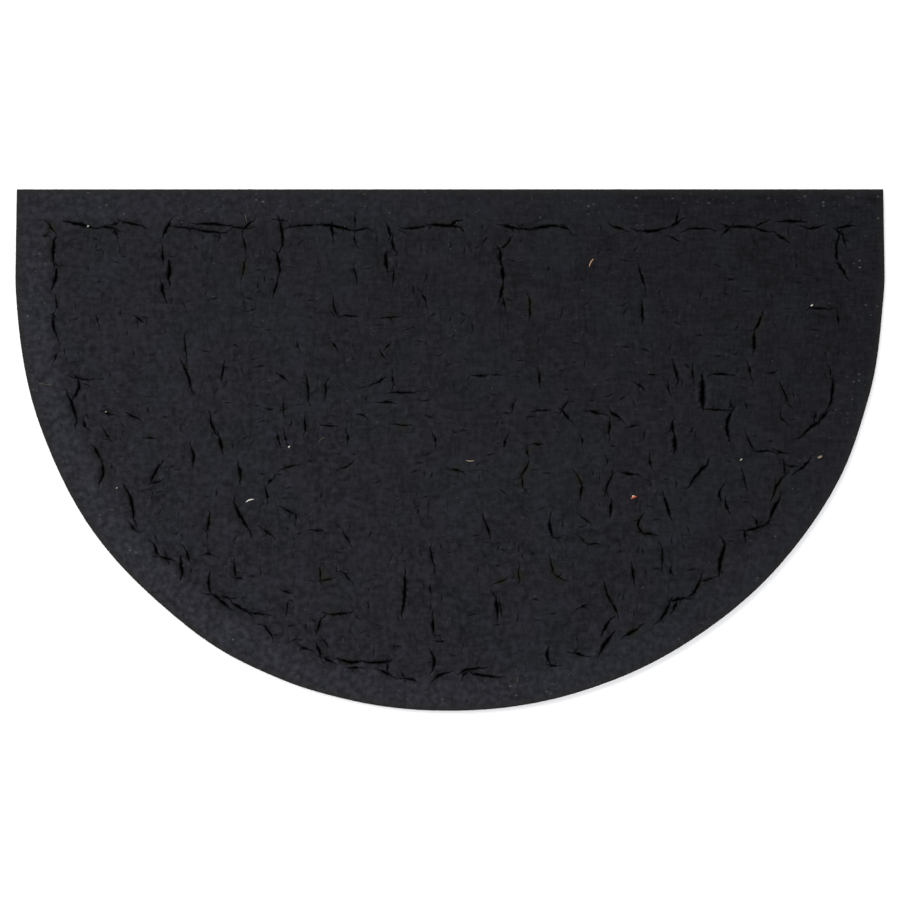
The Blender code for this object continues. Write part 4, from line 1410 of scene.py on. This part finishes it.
fibre_laid = add_node(fibre_tree, "GeometryNodeSetPosition", {
    "Geometry": fibre_bent.outputs["Geometry"], "Position": fibre_down.outputs["Vector"],
    "Selection": fibre_drop.outputs["Is Hit"]})
fibre_section = add_node(
    fibre_tree, "GeometryNodeCurvePrimitiveCircle",
    {"Resolution": FIBRE_SIDES, "Radius": fibre_in.outputs["Radius"]})
fibre_thread = add_node(fibre_tree, "GeometryNodeCurveToMesh", {
    "Curve": fibre_laid.outputs["Geometry"], "Profile Curve": fibre_section.outputs["Curve"],
    "Fill Caps": True})
fibre_set = add_node(
    fibre_tree, "GeometryNodeSetMaterial", {"Geometry": fibre_thread.outputs["Mesh"], "Material": coir})
fibre_tree.links.new(fibre_set.outputs["Geometry"], fibre_out.inputs["Geometry"])
coir_fibres = grown_on(moulded_sheet, "coir_fibres", fibre_tree, {
    "Density": float(FIBRES_PER_SQUARE_METRE), "Length": FIBRE_LENGTH * MM, "Radius": FIBRE_RADIUS * MM,
    "Bend": FIBRE_BEND * MM, "Lift": FIBRE_LIFT * MM, "Seed": FIBRE_SEED})
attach(coir_fibres, "root")


# The bits of litter that stand out in the photo, each where it lies: straws, and crumbs of bark,
# thread and brick. Each is one closed bit, as long as its row says and thinner at its ends.
BIT_SIDES = 6
BIT_STEPS = 6
BIT_END_SHARE = 0.35
BIT_HEIGHT_SHARE = 0.8
# name, start x, start y, end x, end y, bow to the left, thickness in mm, colour
LITTER_BITS = (
    ("white_straw", -176, -45, -169, -42.5, 0.8, 0.9, "#C9C6BC"),
    ("orange_straw", 120, 158, 124, 165, 0.7, 0.8, "#A8805A"),
    ("tan_straw", 14, -9, 21, -9, -0.6, 0.7, "#8F7F66"),
    ("red_crumb", 156, -42, 161, -40, 0.4, 1.6, "#9A4A30"),
    ("red_crumb_chip", 157, -40, 159, -39.5, 0, 1.0, "#C8BDAE"),
    ("tan_crumb", 317, -7, 321, -5, 0, 2.0, "#6E6250"),
    ("pale_crumb", 250, -9, 252, -7.5, 0, 1.2, "#908B80"),
    ("bright_crumb", 311, 124, 313, 125.5, 0, 1.3, "#A9A59B"),
    ("seam_chip", -139.5, 2, -138, 3.5, 0, 1.2, "#A8A59C"),
    ("seam_crumb", -313, 192.5, -311, 193.5, 0, 1.5, "#8B877C"),
    ("left_chip", -297.5, 32.5, -296, 33.5, 0, 1.0, "#7B776D"),
    ("left_crumb", -288, -33, -286.5, -32.5, 0, 1.1, "#86826F"),
)

# Straw, bark and brick dirt: dry and quite matt, each bit in its own colour
dirt, dirt_tree, dirt_shader = new_material("dry_trodden_dirt")
dirt_colour = add_node(dirt_tree, "ShaderNodeAttribute", attribute_name="tint")
dirt_tree.links.new(dirt_colour.outputs["Color"], dirt_shader.inputs["Base Color"])
dirt_shader.inputs["Roughness"].default_value = 0.85


def litter_bit(form, tint, row):
    """Add one bent bit, round in section, whose lower side touches the face."""
    name, start_x, start_y, end_x, end_y, bow, thickness, colour = row
    start, end = np.array((start_x, start_y)), np.array((end_x, end_y))
    along = (end - start) / np.hypot(*(end - start))
    aside = np.array((-along[1], along[0]))
    rings_made = []
    for step in range(BIT_STEPS + 1):
        share = step / BIT_STEPS
        centre = start + (end - start) * share + aside * bow * 4 * share * (1 - share)
        fullness = max(0.0, math.sin(math.pi * share)) ** 0.5
        radius = thickness / 2 * (BIT_END_SHARE + (1 - BIT_END_SHARE) * fullness)
        level = float(face_height(centre[:1], centre[1:])[0]) + radius * BIT_HEIGHT_SHARE
        ring = []
        for side in range(BIT_SIDES):
            turn = math.tau * side / BIT_SIDES
            x, y = centre + aside * radius * math.cos(turn)
            vert = form.verts.new((x * MM, y * MM, (level + radius * math.sin(turn)) * MM))
            vert[tint] = linear(colour)
            ring.append(vert)
        rings_made.append(ring)
    for ring, ahead in zip(rings_made, rings_made[1:]):
        for side in range(BIT_SIDES):
            beyond = (side + 1) % BIT_SIDES
            form.faces.new((ring[side], ring[beyond], ahead[beyond], ahead[side]))
    form.faces.new(rings_made[0])
    form.faces.new(reversed(rings_made[-1]))


bits_form = bmesh.new()
bits_tint = bits_form.verts.layers.float_color.new("tint")
for row in LITTER_BITS:
    litter_bit(bits_form, bits_tint, row)
bmesh.ops.recalc_face_normals(bits_form, faces=bits_form.faces)
bits_mesh = bpy.data.meshes.new("litter_bits")
bits_form.to_mesh(bits_mesh)
bits_form.free()
bits_mesh.shade_smooth()
litter_bits = bpy.data.objects.new("litter_bits", bits_mesh)
litter_bits.data.materials.append(dirt)
bpy.context.scene.collection.objects.link(litter_bits)
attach(litter_bits, "root")

low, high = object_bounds()
{"cad": [list(cad_low), list(cad_high)], "scene": [list(low), list(high)]}
